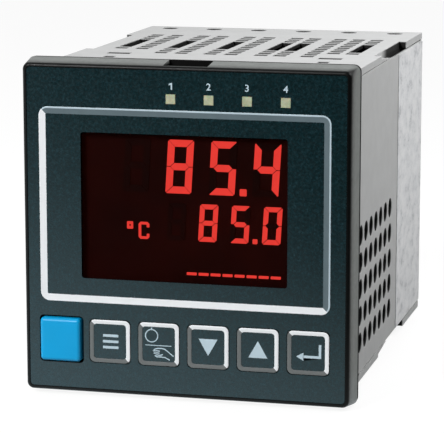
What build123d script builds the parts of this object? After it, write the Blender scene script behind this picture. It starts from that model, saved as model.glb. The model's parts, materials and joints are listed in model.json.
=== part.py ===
from build123d import *
import math
import os

# Panel-mounted temperature controller, 96 x 96 mm front.
# Millimetres. X is right and Z is up as seen from the front, and Y runs to the rear.
# The origin is the centre of the front panel square, on the plane where the gasket meets the panel.

# Front square and the panel that it is mounted in
FRONT = 96.0                # outside of the bezel at its rear edge
BEZEL_REACH = 10.0          # front of the bezel to the panel face
BEZEL_FLARE = 1.0           # the bezel is this much smaller at the front, each side
BEZEL_CORNER_R = 2.0
BEZEL_EDGE_R = 1.0
BEZEL_WALL = 1.2
PANEL_LAP = 2.0             # the bezel covers the cut-out by this, each side
CUTOUT_GAP = 0.6            # housing to cut-out, each side
GASKET_THICK = 1.5
GASKET_INSET = 0.5
COLLAR_THICK = 2.0
RUN_GAP = 0.3               # clearance between pieces that move past each other
SEAT_GAP = 0.1              # clearance between pieces that are fitted into each other
HOLE_SIDES = 10             # small repeated holes and posts are ten-sided
SCREW_SIDES = 6             # screws and the bores that they turn in are six-sided

# Finger grips in the top and bottom of the bezel
GRIP_WIDTH = 12.8
GRIP_DEPTH = 1.8
GRIP_FLOOR = 0.9
GRIP_SETBACK = 1.0

# Front membrane and the plate behind it
FOIL_MARGIN = 2.1           # bezel outline to the edge of the membrane
FOIL_THICK = 0.5
FOIL_CORNER_R = 1.0
RIM_PROUD = 0.2             # the bezel rim stands this far in front of the membrane
FRONT_PLATE = 2.0
STANDOFF = 5.0              # back of the plate to the front board
POST_R = 2.0
POST_BORE_R = 1.25
POST_INSET = 5.9            # edge of the membrane to the screw posts
POST_KEY_GAP = 2.75         # keys to the centres of the lower screw posts
PIN_R = 1.4

# Display
RING_LEFT = 3.5             # left edge of the membrane to the trim ring
RING_RIGHT = 4.3            # right edge of the membrane to the trim ring
RING_DROP = 11.05           # top edge of the membrane to the trim ring
RING_KEY_GAP = 4.9          # keys to the trim ring
WINDOW_SIDE = 12.2          # outside of the ring to the window, left and right
WINDOW_RISE = 6.95          # outside of the ring to the window, above and below
WINDOW_LEDGE = 1.0
WINDOW_THICK = 1.5
WINDOW_CORNER_R = 0.8
RING_LINE = 2.0
RING_CORNER_R = 2.6
RING_PROUD = 0.15
DISPLAY_BORDER = 1.5
SEGMENT_THICK = 0.3
SEGMENT_SLANT = 3.5         # degrees
SEGMENT_GAP = 0.2           # left open at each mitred end of a bar

# Two rows of digits, set against the right edge of the window and drawn to its size
MAIN_DIGITS = 4
MAIN_HEIGHT_SHARE = 0.3756  # of the window's height
MAIN_PITCH_SHARE = 0.209    # of the window's width
MAIN_WIDTH_SHARE = 0.656    # of the pitch
MAIN_BAR_SHARE = 0.265      # of the digit's width
MAIN_TOP = 1.3              # top edge of the window to the digits
MAIN_RIGHT = 2.2

LOWER_DIGITS = 4
LOWER_HEIGHT_SHARE = 0.2536
LOWER_PITCH_SHARE = 0.1538
LOWER_WIDTH_SHARE = 0.6415
LOWER_BAR_SHARE = 0.26
LOWER_RIGHT = 1.65
ROW_GAP = 2.5

UNIT_GAP = 5.0              # unit sign to the lower row
UNIT_WIDTH = 3.4
UNIT_HEIGHT = 5.2
UNIT_LINE = 0.75
DEGREE_SIDE = 2.1
DEGREE_SHIFT = 4.1

BARGRAPH_COUNT = 8
BARGRAPH_PITCH_SHARE = 0.058
BARGRAPH_GAP = 0.6
BARGRAPH_THICK = 0.75
BARGRAPH_RISE = 2.55        # bottom edge of the window to the middle of the dashes

# Status indicators above the display
LIGHT_COUNT = 4
LIGHT_SIDE = 2.7
LIGHT_PITCH = 10.9
LIGHT_RIGHT = 0.65          # right edge of the window to the last centre
LIGHT_DROP = 7.95           # top edge of the membrane to the centres
LIGHT_PIPE_GAP = 0.3
LED_THICK = 0.8
LED_SIDE = 2.0

# Keys and the interface port in one row below the display
KEY_COUNT = 5
KEY_SPACE = 2.56            # between two keys
KEY_HEIGHT = 12.3
KEY_CORNER_R = 1.5
KEY_FRAME = 1.1
KEY_FRAME_PROUD = 0.12
KEY_LEFT = 3.6              # left edge of the membrane to the first place in the row
KEY_RIGHT = 4.5             # right edge of the membrane to the last key
KEY_RISE = 14.0             # bottom edge of the membrane to the centres
KEY_GAP = 0.25
KEY_TRAVEL = 0.4
KEY_TAB = 0.7               # the tabs behind the plate reach this far past the opening
KEY_TAB_THICK = 0.8
KEY_STEM = 3.0              # square stem
SWITCH_SIDE = 6.0
SWITCH_HEIGHT = 3.5
STEM_ENTRY = 0.25

PORT_GAP = 0.55             # around the port cover
PORT_OVER = 0.1             # the port cover is this much larger than a key, each side
PORT_PROUD = 1.5
PORT_EDGE_R = 1.1
PORT_CORNER_R = 1.2         # of the opening around the port cover
PORT_PLUG = 5.4
PORT_PLUG_LENGTH = 2.0
SOCKET_SIDE = 9.0
SOCKET_HEIGHT = 4.2
SOCKET_WELL = 2.6

# Circuit boards
BOARD = 1.6
FRONT_BOARD_GAP = 0.6       # front board to the inside of the collar
BOARD_SCREW_R = 1.1
BOARD_SCREW_HEAD_R = 2.2
BOARD_SCREW_HEAD = 1.2
BOARD_SCREW_LENGTH = 5.0
BOARD_EDGE_GAP = 0.4        # upright boards to the inside of the collar
HEADER_WIDTH = 6.0
HEADER_LENGTH = 40.0
HEADER_DEPTH = 8.0
HEADER_SLOT = 4.2
RELAY_BAY = 18.8            # left wall to the middle of the relay board
LOGIC_BAY = 15.0            # relay board to the logic board
POWER_BAY = 23.3            # power board to the right wall
BOARD_SHOULDER = 1.0        # header to the full height of an upright board
TONGUE_LENGTH = 7.5
TONGUE_INSET = 6.0
TONGUE_END_GAP = 0.5

RELAY_COUNT = 4
RELAY_LENGTH = 20.0
RELAY_WIDTH = 10.0
RELAY_HEIGHT = 15.5
RELAY_PITCH = 14.0
RELAY_CHAMFER = 0.8
RELAY_Y = 62.0

CORE_LENGTH = 29.0          # along Y
CORE_HEIGHT = 34.0          # along Z
CORE_THICK = 14.0           # along X
CORE_LIMB = 5.5
COIL_GAP = 0.2
COIL_OVERHANG = 2.5
TRANSFORMER_Y = 70.0
TRANSFORMER_Z = 18.0

CAPACITOR_COUNT = 3
CAPACITOR_R = 5.0
CAPACITOR_HEIGHT = 16.0
CAPACITOR_PITCH = 12.5
CAPACITOR_CHAMFER = 0.5
CAPACITOR_SIDES = 16
CAPACITOR_Y = 34.0
CAPACITOR_Z = -24.0

CHIP_SIDE = 14.0
CHIP_THICK = 1.6
CHIP_PITCH = 22.0
CHIP_COUNT = 3
CHIP_Y = 42.0

# Housing
HOUSING_DEPTH = 118.0
COVER_THICK = 1.2
COVER_RIM = 2.0             # height of the rim where a cover stands on the side walls
COVER_LEDGE = 3.0           # width of the rim along the long edges
LIP_THICK = 0.9             # lip that holds a cover between the side walls
LIP_DEPTH = 1.5
LIP_START = 3.0
SIDE_THICK = 2.0
GUIDE_WIDTH = 0.9
GUIDE_HEIGHT = 2.2
GUIDE_START = 2.0
GUIDE_END_GAP = 2.0
CROSS_RIB = 1.2             # rib across the rear ends of the guides

VENT_STRIP_X = (-35.5, -29.0, -20.3, -14.0, -5.1, 1.2, 10.3, 16.0, 24.2, 30.1, 35.8)
OPEN_STRIPS = (0, 2, 4, 6, 7, 10)      # strips with a long open window
VENT_WIDTH = 4.0
VENT_CELL = 3.9
VENT_PITCH = 5.0
VENT_ROWS = 11
VENT_START = 37.5
VENT_SIDE = 9.0             # least distance from the side of the cover to the middle of a strip
VENT_CLAMP_REACH = 6.5      # strips this near to a clamp slot leave out their first rows
VENT_SHORT_ROWS = 2
WINDOW_ROWS = (3, 7)        # first and last row of a long open window
BOTTOM_SLOTS = 2

CLAMP_INSET = 13.4          # side of the cover to the clamp slots
CLAMP_Y = 35.0
CLAMP_SLOT_WIDTH = 7.1
CLAMP_SLOT_LENGTH = 3.9
CLAMP_HOLE_WIDTH = 3.3
CLAMP_HOLE_LENGTH = 3.8
CLAMP_HOLE_AHEAD = 10.0
REAR_HOLE_R = 2.7
REAR_HOLE_PITCH = 15.0
REAR_HOLE_SIDE = 7.5        # least distance from the side of the cover
REAR_HOLE_INSET = 6.0

NOTCH_WIDTH = 2.3
NOTCH_START = 45.0
NOTCH_LENGTH = 43.0
NOTCH_STEP = 0.9
NOTCH_BREAK = 0.5           # the floor ends this far below the rim
NOTCH_RAMP = 19.0
NOTCH_SKIN = 0.7
NOTCH_POCKET = 4.0

SIDE_HOLE_R = 2.7
SIDE_HOLE_PITCH = 7.85
SIDE_HOLE_COLUMNS = 7
SIDE_HOLE_ROWS = 5
SIDE_HOLE_Y = 38.7          # middle of the field
SIDE_HOLE_RISE = 9.25       # lower edge of the wall to the lowest row

LABEL_LENGTH = 44.0
LABEL_THICK = 0.2
LABEL_INSET = 0.6

# Rear wall and terminals
REAR_WALL = 2.0
TERMINAL_DEPTH = 8.0
TERMINAL_BLOCKS = 3
TERMINAL_BLOCK_SIDE = 6.4   # side of the housing to the outer strips
TERMINAL_BLOCK_WIDTH = 20.0
TERMINAL_PITCH = 7.0
TERMINAL_WELL_WIDTH = 8.4
TERMINAL_WELL_HEIGHT = 5.6
TERMINAL_WELL_DEPTH = 5.5
WIRE_ENTRY = 3.4
CLAMP_PLATE = 1.0
TERMINAL_SCREW_R = 2.3
TERMINAL_SCREW_HEAD = 2.0
REAR_SOCKET_WIDTH = 8.0
REAR_SOCKET_DEPTH = 10.0
REAR_SOCKET_WALL = 1.5

# Planes and faces that several pieces share
cutout = FRONT - 2 * PANEL_LAP
body = cutout - 2 * CUTOUT_GAP
body_half = body / 2
inside_half = body_half - SIDE_THICK
under_cover = body_half - COVER_THICK

bezel_front = -BEZEL_REACH
housing_front = -GASKET_THICK
collar_front = housing_front - COLLAR_THICK
bezel_rear = housing_front - RUN_GAP
pocket_step = collar_front - 2 * RUN_GAP
rear_pocket = FRONT / 2 - BEZEL_WALL
deep_pocket = FRONT / 2 - BEZEL_FLARE - BEZEL_WALL

foil = FRONT - 2 * FOIL_MARGIN
foil_half = foil / 2
foil_front = bezel_front + RIM_PROUD
foil_back = foil_front + FOIL_THICK
plate_back = foil_back + FRONT_PLATE
board_front = plate_back + STANDOFF
board_back = board_front + BOARD

key_width = (foil - KEY_LEFT - KEY_RIGHT - KEY_COUNT * KEY_SPACE) / (KEY_COUNT + 1)
key_pitch = key_width + KEY_SPACE
key_row_z = -foil_half + KEY_RISE
key_top = key_row_z + KEY_HEIGHT / 2
port_width = key_width + 2 * PORT_OVER
port_height = KEY_HEIGHT + 2 * PORT_OVER
port_x = -foil_half + KEY_LEFT + key_width / 2

ring_width = foil - RING_LEFT - RING_RIGHT
ring_top = foil_half - RING_DROP
ring_bottom = key_top + RING_KEY_GAP
ring_height = ring_top - ring_bottom
display_x = (RING_LEFT - RING_RIGHT) / 2
display_z = (ring_top + ring_bottom) / 2
window_width = ring_width - 2 * WINDOW_SIDE
window_height = ring_height - 2 * WINDOW_RISE
light_row_z = foil_half - LIGHT_DROP
light_last_x = display_x + window_width / 2 - LIGHT_RIGHT

main_height = MAIN_HEIGHT_SHARE * window_height
main_pitch = MAIN_PITCH_SHARE * window_width
main_width = MAIN_WIDTH_SHARE * main_pitch
main_last_x = window_width / 2 - MAIN_RIGHT - main_width / 2
main_z = window_height / 2 - MAIN_TOP - main_height / 2
lower_height = LOWER_HEIGHT_SHARE * window_height
lower_pitch = LOWER_PITCH_SHARE * window_width
lower_width = LOWER_WIDTH_SHARE * lower_pitch
lower_last_x = window_width / 2 - LOWER_RIGHT - lower_width / 2
lower_z = main_z - main_height / 2 - ROW_GAP - lower_height / 2
lower_left = lower_last_x - (LOWER_DIGITS - 1) * lower_pitch - lower_width / 2

rear_wall_front = HOUSING_DEPTH - TERMINAL_DEPTH - REAR_WALL
rear_wall_back = HOUSING_DEPTH - TERMINAL_DEPTH
socket_front = rear_wall_front - REAR_SOCKET_DEPTH
header_back = board_back + HEADER_DEPTH
upright_front = header_back + BOARD_SHOULDER
upright_rear = socket_front - BOARD_SHOULDER
upright_half = inside_half - BOARD_EDGE_GAP
tongue_half = upright_half - TONGUE_INSET

relay_board_x = -inside_half + RELAY_BAY
logic_board_x = relay_board_x + LOGIC_BAY
power_board_x = inside_half - POWER_BAY
upright_places = {
    "relay_board": relay_board_x,
    "logic_board": logic_board_x,
    "power_board": power_board_x,
}

clamp_x = body_half - CLAMP_INSET
wall_height = 2 * (body_half - COVER_RIM)
terminals = int(wall_height // TERMINAL_PITCH)
block_pitch = (body - 2 * TERMINAL_BLOCK_SIDE - TERMINAL_BLOCK_WIDTH) / (TERMINAL_BLOCKS - 1)
rear_hole_count = int((body - 2 * REAR_HOLE_SIDE) // REAR_HOLE_PITCH) + 1


def facing(shape, y_from, y_to):
    """Extrude a face that is drawn as seen from the front, with X right and Z up."""
    return extrude(Plane.XZ.offset(-y_to) * shape, y_to - y_from)


def sideways(shape, x_from, x_to):
    """Extrude a face that is drawn with Y right and Z up."""
    return extrude(Plane.YZ.offset(x_from) * shape, x_to - x_from)


def flat(shape, z_from, z_to):
    """Extrude a face that is drawn from above."""
    return extrude(Plane.XY.offset(z_from) * shape, z_to - z_from)


def block(x, y, z):
    """A block between two values on each axis."""
    size = (x[1] - x[0], y[1] - y[0], z[1] - z[0])
    middle = ((x[0] + x[1]) / 2, (y[0] + y[1]) / 2, (z[0] + z[1]) / 2)
    return Pos(*middle) * Box(*size)


def row(count, pitch):
    """Places of a row that is centred on zero."""
    return [(i - (count - 1) / 2) * pitch for i in range(count)]


def key_places():
    """Centres of the five keys, from left to right."""
    return [port_x + (i + 1) * key_pitch for i in range(KEY_COUNT)]


def light_places():
    return [light_last_x - i * LIGHT_PITCH for i in range(LIGHT_COUNT)]


def post_places():
    """Screw posts behind the front plate."""
    reach = foil_half - POST_INSET
    return [(x, z) for x in (-reach, reach) for z in (reach, key_top + POST_KEY_GAP)]


def pin_places():
    """Support pins below the keys."""
    low = -inside_half + FRONT_BOARD_GAP + PIN_R
    return [(x, low) for x in (-key_pitch, key_pitch)]


def opening(width, height, gap, radius, rounded):
    """Face of one opening with the gap added on every side."""
    size = (width + 2 * gap, height + 2 * gap)
    return RectangleRounded(*size, radius) if rounded else Rectangle(*size)


def front_openings(key_gap, window_gap, rounded):
    """Faces of every opening in the front. The plate behind the membrane has square corners."""
    window = opening(window_width, window_height, window_gap, WINDOW_CORNER_R, rounded)
    key = opening(key_width, KEY_HEIGHT, key_gap, KEY_CORNER_R, rounded)
    port = opening(port_width, port_height, PORT_GAP, PORT_CORNER_R, rounded)
    light = opening(LIGHT_SIDE, LIGHT_SIDE, SEAT_GAP, 0, False)
    faces = [Pos(display_x, display_z) * window, Pos(port_x, key_row_z) * port]
    faces += [Pos(x, key_row_z) * key for x in key_places()]
    faces += [Pos(x, light_row_z) * light for x in light_places()]
    return faces


def front_bezel():
    """Flared frame with the plate behind the membrane, screw posts and finger grips."""
    rear = Plane.XZ.offset(-bezel_rear) * RectangleRounded(FRONT, FRONT, BEZEL_CORNER_R)
    small = FRONT - 2 * BEZEL_FLARE
    front = Plane.XZ.offset(-bezel_front) * RectangleRounded(small, small, BEZEL_CORNER_R)
    shell = loft([rear, front])
    shell = fillet(shell.faces().sort_by(Axis.Y)[0].edges(), BEZEL_EDGE_R)

    recess = RectangleRounded(foil + 2 * SEAT_GAP, foil + 2 * SEAT_GAP, FOIL_CORNER_R)
    shell -= facing(recess, bezel_front - RIM_PROUD, foil_back)
    deep = RectangleRounded(2 * deep_pocket, 2 * deep_pocket, BEZEL_CORNER_R)
    shell -= facing(deep, plate_back, bezel_rear + COLLAR_THICK)
    wide = RectangleRounded(2 * rear_pocket, 2 * rear_pocket, BEZEL_CORNER_R)
    shell -= facing(wide, pocket_step, bezel_rear + COLLAR_THICK)

    openings = Sketch() + front_openings(KEY_GAP, WINDOW_LEDGE + SEAT_GAP, False)
    shell -= facing(openings, foil_back - FOIL_THICK, plate_back + FOIL_THICK)

    post = RegularPolygon(POST_R, HOLE_SIDES) - RegularPolygon(POST_BORE_R, SCREW_SIDES)
    posts = [Pos(x, z) * post for x, z in post_places()]
    pins = [Pos(x, z) * RegularPolygon(PIN_R, HOLE_SIDES) for x, z in pin_places()]
    shell += facing(Sketch() + posts + pins, plate_back, board_front)

    floor = FRONT / 2 - GRIP_DEPTH
    for side in (1, -1):
        reach = GRIP_WIDTH / 2
        pad = sorted((side * (floor - GRIP_FLOOR), side * (rear_pocket + SEAT_GAP)))
        shell += block((-reach - BEZEL_WALL, reach + BEZEL_WALL), (plate_back, bezel_rear), pad)
        cut = sorted((side * floor, side * FRONT))
        shell -= block((-reach, reach), (bezel_front + GRIP_SETBACK, 0), cut)
    return shell


def front_foil():
    sheet = RectangleRounded(foil, foil, FOIL_CORNER_R) - front_openings(KEY_GAP, 0, True)
    return facing(sheet, foil_front, foil_back)


def display_ring():
    """Raised trim line around the display."""
    outer = RectangleRounded(ring_width, ring_height, RING_CORNER_R)
    inner_size = (ring_width - 2 * RING_LINE, ring_height - 2 * RING_LINE)
    inner = RectangleRounded(*inner_size, RING_CORNER_R - RING_LINE / 2)
    return facing(Pos(display_x, display_z) * (outer - inner), foil_front - RING_PROUD, foil_front)


def display_window():
    """Tinted filter, held behind the edge of the membrane's opening."""
    face = opening(window_width, window_height, WINDOW_LEDGE, WINDOW_CORNER_R, True)
    return facing(Pos(display_x, display_z) * face, foil_back, foil_back + WINDOW_THICK)


def display_body():
    """Closed block that carries the digits, between the front plate and the front board."""
    border = WINDOW_LEDGE + DISPLAY_BORDER
    face = opening(window_width, window_height, border, 0, False)
    return facing(Pos(display_x, display_z) * face, plate_back, board_front)


def lit(faces):
    """Thin luminous pieces on the display block, one solid for each face."""
    solids = [facing(Pos(display_x, display_z) * f, plate_back - SEGMENT_THICK, plate_back) for f in faces]
    return Compound(children=solids)


def slanted(points, centre):
    lean = math.tan(math.radians(SEGMENT_SLANT))
    return [(centre[0] + x + z * lean, centre[1] + z) for x, z in points]


def end_bar(length, bar):
    """Bar along the rim of a digit, below zero, with mitred ends."""
    long = length / 2 - SEGMENT_GAP
    short = long - bar
    return [(-long, 0), (long, 0), (short, -bar), (-short, -bar)]


def middle_bar(length, bar):
    """Bar across the middle of a digit, with a point at each end."""
    end = length / 2 - bar / 2 - SEGMENT_GAP
    short = end - bar / 2
    side = bar / 2
    return [(-end, 0), (-short, side), (short, side), (end, 0), (short, -side), (-short, -side)]


def side_bar(length, bar):
    """Upright bar in the upper half of a digit, left of zero, with one mitred and one halved end."""
    top = length - SEGMENT_GAP
    low = SEGMENT_GAP
    return [(0, top), (0, low), (-bar / 2, low), (-bar, low + bar / 2), (-bar, top - bar)]


def seven_segments(width, height, bar, centre):
    """Faces of one digit: three bars across and four upright."""
    half = height / 2
    outlines = [middle_bar(width, bar)]
    for up in (1, -1):
        outlines.append([(x, up * (z + half)) for x, z in end_bar(width, bar)])
        for right in (1, -1):
            points = side_bar(half, bar)
            outlines.append([(right * (x + width / 2), up * z) for x, z in points])
    return [make_face(Polyline(slanted(points, centre), close=True)) for points in outlines]


def digit_row(count, width, height, bar, pitch, last):
    """Digits up to the last place, with a decimal point before the last one."""
    faces = []
    for i in range(count):
        faces += seven_segments(width, height, bar, (last[0] - i * pitch, last[1]))
    lean = math.tan(math.radians(SEGMENT_SLANT)) * height / 2
    point = Pos(last[0] - pitch / 2 - lean, last[1] - height / 2 + bar / 2)
    faces.append(point * Rectangle(bar, bar))
    return faces


def main_digits():
    bar = MAIN_BAR_SHARE * main_width
    last = (main_last_x, main_z)
    return lit(digit_row(MAIN_DIGITS, main_width, main_height, bar, main_pitch, last))


def lower_digits():
    bar = LOWER_BAR_SHARE * lower_width
    last = (lower_last_x, lower_z)
    return lit(digit_row(LOWER_DIGITS, lower_width, lower_height, bar, lower_pitch, last))


def cut_corners(width, height, corner):
    return chamfer(Rectangle(width, height).vertices(), corner)


def unit_sign():
    """Degree square and the temperature unit, on the base line of the lower row."""
    x = lower_left - UNIT_GAP - UNIT_WIDTH / 2
    z = lower_z - (lower_height - UNIT_HEIGHT) / 2
    outer = cut_corners(UNIT_WIDTH, UNIT_HEIGHT, UNIT_LINE)
    inner_size = (UNIT_WIDTH - 2 * UNIT_LINE, UNIT_HEIGHT - 2 * UNIT_LINE)
    inner = cut_corners(*inner_size, UNIT_LINE / 2)
    mouth = Pos(UNIT_WIDTH / 2, 0) * Rectangle(UNIT_WIDTH, UNIT_HEIGHT / 2 - UNIT_LINE)
    letter = Pos(x, z) * (outer - inner - mouth)
    degree = Pos(x - DEGREE_SHIFT, z + (UNIT_HEIGHT - DEGREE_SIDE) / 2)
    degree *= Rectangle(DEGREE_SIDE, DEGREE_SIDE)
    return lit([letter, degree])


def bargraph():
    pitch = BARGRAPH_PITCH_SHARE * window_width
    length = pitch - BARGRAPH_GAP
    last = window_width / 2 - LOWER_RIGHT - length / 2
    z = BARGRAPH_RISE - window_height / 2
    dash = Rectangle(length, BARGRAPH_THICK)
    return lit([Pos(last - i * pitch, z) * dash for i in range(BARGRAPH_COUNT)])


def light_pipes():
    """Square lenses in the membrane that lead back to the lamps on the front board."""
    face = Rectangle(LIGHT_SIDE, LIGHT_SIDE)
    end = board_front - LED_THICK - LIGHT_PIPE_GAP
    solids = [facing(Pos(x, light_row_z) * face, foil_front, end) for x in light_places()]
    return Compound(children=solids)


def indicator_leds():
    face = Rectangle(LED_SIDE, LED_SIDE)
    start = board_front - LED_THICK
    solids = [facing(Pos(x, light_row_z) * face, start, board_front) for x in light_places()]
    return Compound(children=solids)


def key(x):
    """Key with an embossed frame, tabs behind the plate and a stem into its switch."""
    outline = RectangleRounded(key_width, KEY_HEIGHT, KEY_CORNER_R)
    inner_size = (key_width - 2 * KEY_FRAME, KEY_HEIGHT - 2 * KEY_FRAME)
    inner = cut_corners(*inner_size, KEY_CORNER_R - KEY_FRAME)
    tab_front = plate_back + SEAT_GAP
    tab_back = tab_front + KEY_TAB_THICK
    stem_end = board_front - SWITCH_HEIGHT + STEM_ENTRY
    pad = facing(outline, foil_front, tab_back)
    pad += facing(outline - inner, foil_front - KEY_FRAME_PROUD, foil_front)
    tabs = Rectangle(key_width / 2, KEY_HEIGHT + 2 * (KEY_GAP + KEY_TAB))
    pad += facing(tabs, tab_front, tab_back)
    pad += facing(Rectangle(KEY_STEM, KEY_STEM), tab_back, stem_end)
    return Pos(x, 0, key_row_z) * pad


def key_switches():
    """Switch bodies on the front board, each with a well for the stem of its key."""
    start = board_front - SWITCH_HEIGHT
    face = Rectangle(SWITCH_SIDE, SWITCH_SIDE)
    well_side = KEY_STEM + 2 * RUN_GAP
    well_depth = STEM_ENTRY + KEY_TRAVEL + 2 * RUN_GAP
    well = facing(Rectangle(well_side, well_side), start, start + well_depth)
    switch = facing(face, start, board_front) - well
    return Compound(children=[Pos(x, 0, key_row_z) * switch for x in key_places()])


def port_cover():
    """Pull-off cover of the interface port, with a soft edge and a square plug behind."""
    cap = facing(Rectangle(port_width, port_height), bezel_front - PORT_PROUD, plate_back)
    soft = cap.faces().sort_by(Axis.Y)[0].edges() + cap.edges().filter_by(Axis.Y)
    cap = fillet(soft, PORT_EDGE_R)
    cap += facing(Rectangle(PORT_PLUG, PORT_PLUG), plate_back, plate_back + PORT_PLUG_LENGTH)
    return Pos(port_x, 0, key_row_z) * cap


def interface_socket():
    start = board_front - SOCKET_HEIGHT
    well_side = PORT_PLUG + 2 * RUN_GAP
    body_solid = facing(Rectangle(SOCKET_SIDE, SOCKET_SIDE), start, board_front)
    body_solid -= facing(Rectangle(well_side, well_side), start, start + SOCKET_WELL)
    return Pos(port_x, 0, key_row_z) * body_solid


def front_board():
    side = 2 * (inside_half - FRONT_BOARD_GAP)
    hole = RegularPolygon(BOARD_SCREW_R + SEAT_GAP, SCREW_SIDES)
    sheet = Rectangle(side, side) - [Pos(x, z) * hole for x, z in post_places()]
    return facing(sheet, board_front, board_back)


def board_screws():
    """Screws that hold the front board on the posts."""
    shank = RegularPolygon(BOARD_SCREW_R, SCREW_SIDES)
    head = RegularPolygon(BOARD_SCREW_HEAD_R, SCREW_SIDES)
    screw = facing(shank, board_back - BOARD_SCREW_LENGTH, board_back)
    screw += facing(head, board_back, board_back + BOARD_SCREW_HEAD)
    return Compound(children=[Pos(x, 0, z) * screw for x, z in post_places()])


def board_headers():
    """Slotted connectors on the back of the front board, one for each upright board."""
    body_solid = facing(Rectangle(HEADER_WIDTH, HEADER_LENGTH), board_back, header_back)
    slot = Rectangle(BOARD + 2 * SEAT_GAP, HEADER_LENGTH - HEADER_WIDTH)
    body_solid -= facing(slot, header_back - HEADER_SLOT, header_back)
    return Compound(children=[Pos(x, 0, 0) * body_solid for x in upright_places.values()])


def upright_board(x):
    """Board with a front tongue for the header and a rear tongue with the contacts."""
    front_half = HEADER_LENGTH / 2 - HEADER_WIDTH / 2 - SEAT_GAP
    front_end = header_back - HEADER_SLOT + SEAT_GAP
    rear_end = upright_rear + BOARD_SHOULDER + TONGUE_LENGTH - TONGUE_END_GAP
    points = [
        (front_end, front_half),
        (upright_front, front_half),
        (upright_front, upright_half),
        (upright_rear, upright_half),
        (upright_rear, tongue_half),
        (rear_end, tongue_half),
    ]
    points += [(y, -z) for y, z in reversed(points)]
    outline = make_face(Polyline(points, close=True))
    return sideways(outline, x - BOARD / 2, x + BOARD / 2)


def relays():
    """Output relays on the left face of the relay board."""
    right = relay_board_x - BOARD / 2
    y = (RELAY_Y - RELAY_LENGTH / 2, RELAY_Y + RELAY_LENGTH / 2)
    solids = []
    for z in row(RELAY_COUNT, RELAY_PITCH):
        relay = block((right - RELAY_HEIGHT, right), y, (z - RELAY_WIDTH / 2, z + RELAY_WIDTH / 2))
        solids.append(chamfer(relay.edges().filter_by(Axis.X), RELAY_CHAMFER))
    return Compound(children=solids)


def core_window_centre():
    """Height of the middle of a core window above the middle of the core."""
    window = (CORE_HEIGHT - 4 * CORE_LIMB) / 2
    return CORE_LIMB + window / 2


def transformer_core():
    """Laminated core with two windows on the right face of the power board."""
    start = power_board_x + BOARD / 2 + COIL_OVERHANG + COIL_GAP
    window = Rectangle(CORE_LENGTH - 2 * CORE_LIMB, (CORE_HEIGHT - 4 * CORE_LIMB) / 2)
    centre = core_window_centre()
    face = Rectangle(CORE_LENGTH, CORE_HEIGHT) - [Pos(0, centre) * window, Pos(0, -centre) * window]
    return sideways(Pos(TRANSFORMER_Y, TRANSFORMER_Z) * face, start, start + CORE_THICK)


def transformer_coil():
    """Coil around the middle limb, standing on the power board."""
    start = power_board_x + BOARD / 2
    end = start + CORE_THICK + 2 * (COIL_OVERHANG + COIL_GAP)
    length = CORE_LENGTH - 2 * CORE_LIMB - 2 * COIL_GAP
    half = core_window_centre() + (CORE_HEIGHT - 4 * CORE_LIMB) / 4 - COIL_GAP
    y = (TRANSFORMER_Y - length / 2, TRANSFORMER_Y + length / 2)
    coil = block((start, end), y, (TRANSFORMER_Z - half, TRANSFORMER_Z + half))
    limb = CORE_LIMB + COIL_GAP
    hole_x = (start + COIL_OVERHANG, end - COIL_OVERHANG)
    return coil - block(hole_x, (0, HOUSING_DEPTH), (TRANSFORMER_Z - limb, TRANSFORMER_Z + limb))


def capacitors():
    """Upright round capacitors on the right face of the power board."""
    start = power_board_x + BOARD / 2
    solids = []
    for y in row(CAPACITOR_COUNT, CAPACITOR_PITCH):
        face = Pos(CAPACITOR_Y + y, CAPACITOR_Z) * RegularPolygon(CAPACITOR_R, CAPACITOR_SIDES)
        can = sideways(face, start, start + CAPACITOR_HEIGHT)
        solids.append(chamfer(can.faces().sort_by(Axis.X)[-1].edges(), CAPACITOR_CHAMFER))
    return Compound(children=solids)


def logic_chips():
    """Flat circuits on the right face of the logic board."""
    start = logic_board_x + BOARD / 2
    face = Rectangle(CHIP_SIDE, CHIP_SIDE)
    places = row(CHIP_COUNT, CHIP_PITCH)
    solids = [sideways(Pos(CHIP_Y, z) * face, start, start + CHIP_THICK) for z in places]
    return Compound(children=solids)


def mounting_collar():
    """Flange at the front of the housing that presses the gasket against the panel."""
    outer = 2 * (rear_pocket - RUN_GAP)
    ring = RectangleRounded(outer, outer, BEZEL_CORNER_R)
    ring -= Rectangle(2 * inside_half, 2 * inside_half)
    flange = facing(ring, collar_front, housing_front)
    pad_floor = FRONT / 2 - GRIP_DEPTH - GRIP_FLOOR - RUN_GAP
    reach = GRIP_WIDTH / 2 + BEZEL_WALL + RUN_GAP
    for side in (1, -1):
        gap = sorted((side * pad_floor, side * FRONT))
        flange -= block((-reach, reach), (collar_front, housing_front), gap)
    return flange


def panel_gasket():
    outer = FRONT - 2 * GASKET_INSET
    ring = RectangleRounded(outer, outer, BEZEL_CORNER_R)
    ring -= Rectangle(body + 2 * SEAT_GAP, body + 2 * SEAT_GAP)
    return facing(ring, housing_front, 0)


def clamp_openings():
    """Slots and small holes that take the fixing clamps."""
    slot = Rectangle(CLAMP_SLOT_WIDTH, CLAMP_SLOT_LENGTH)
    hole = Rectangle(CLAMP_HOLE_WIDTH, CLAMP_HOLE_LENGTH)
    faces = []
    for x in (-clamp_x, clamp_x):
        faces.append(Pos(x, CLAMP_Y) * slot)
        faces.append(Pos(x, CLAMP_Y - CLAMP_HOLE_AHEAD) * hole)
    return faces


def rear_holes():
    y = HOUSING_DEPTH - REAR_HOLE_INSET
    hole = RegularPolygon(REAR_HOLE_R, HOLE_SIDES)
    return [Pos(x, y) * hole for x in row(rear_hole_count, REAR_HOLE_PITCH)]


def vent_strips():
    """Number and place of each strip that the cover has room for."""
    reach = body_half - VENT_SIDE
    return [(i, x) for i, x in enumerate(VENT_STRIP_X) if abs(x) < reach]


def first_row(x):
    return VENT_SHORT_ROWS if abs(abs(x) - clamp_x) < VENT_CLAMP_REACH else 0


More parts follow.
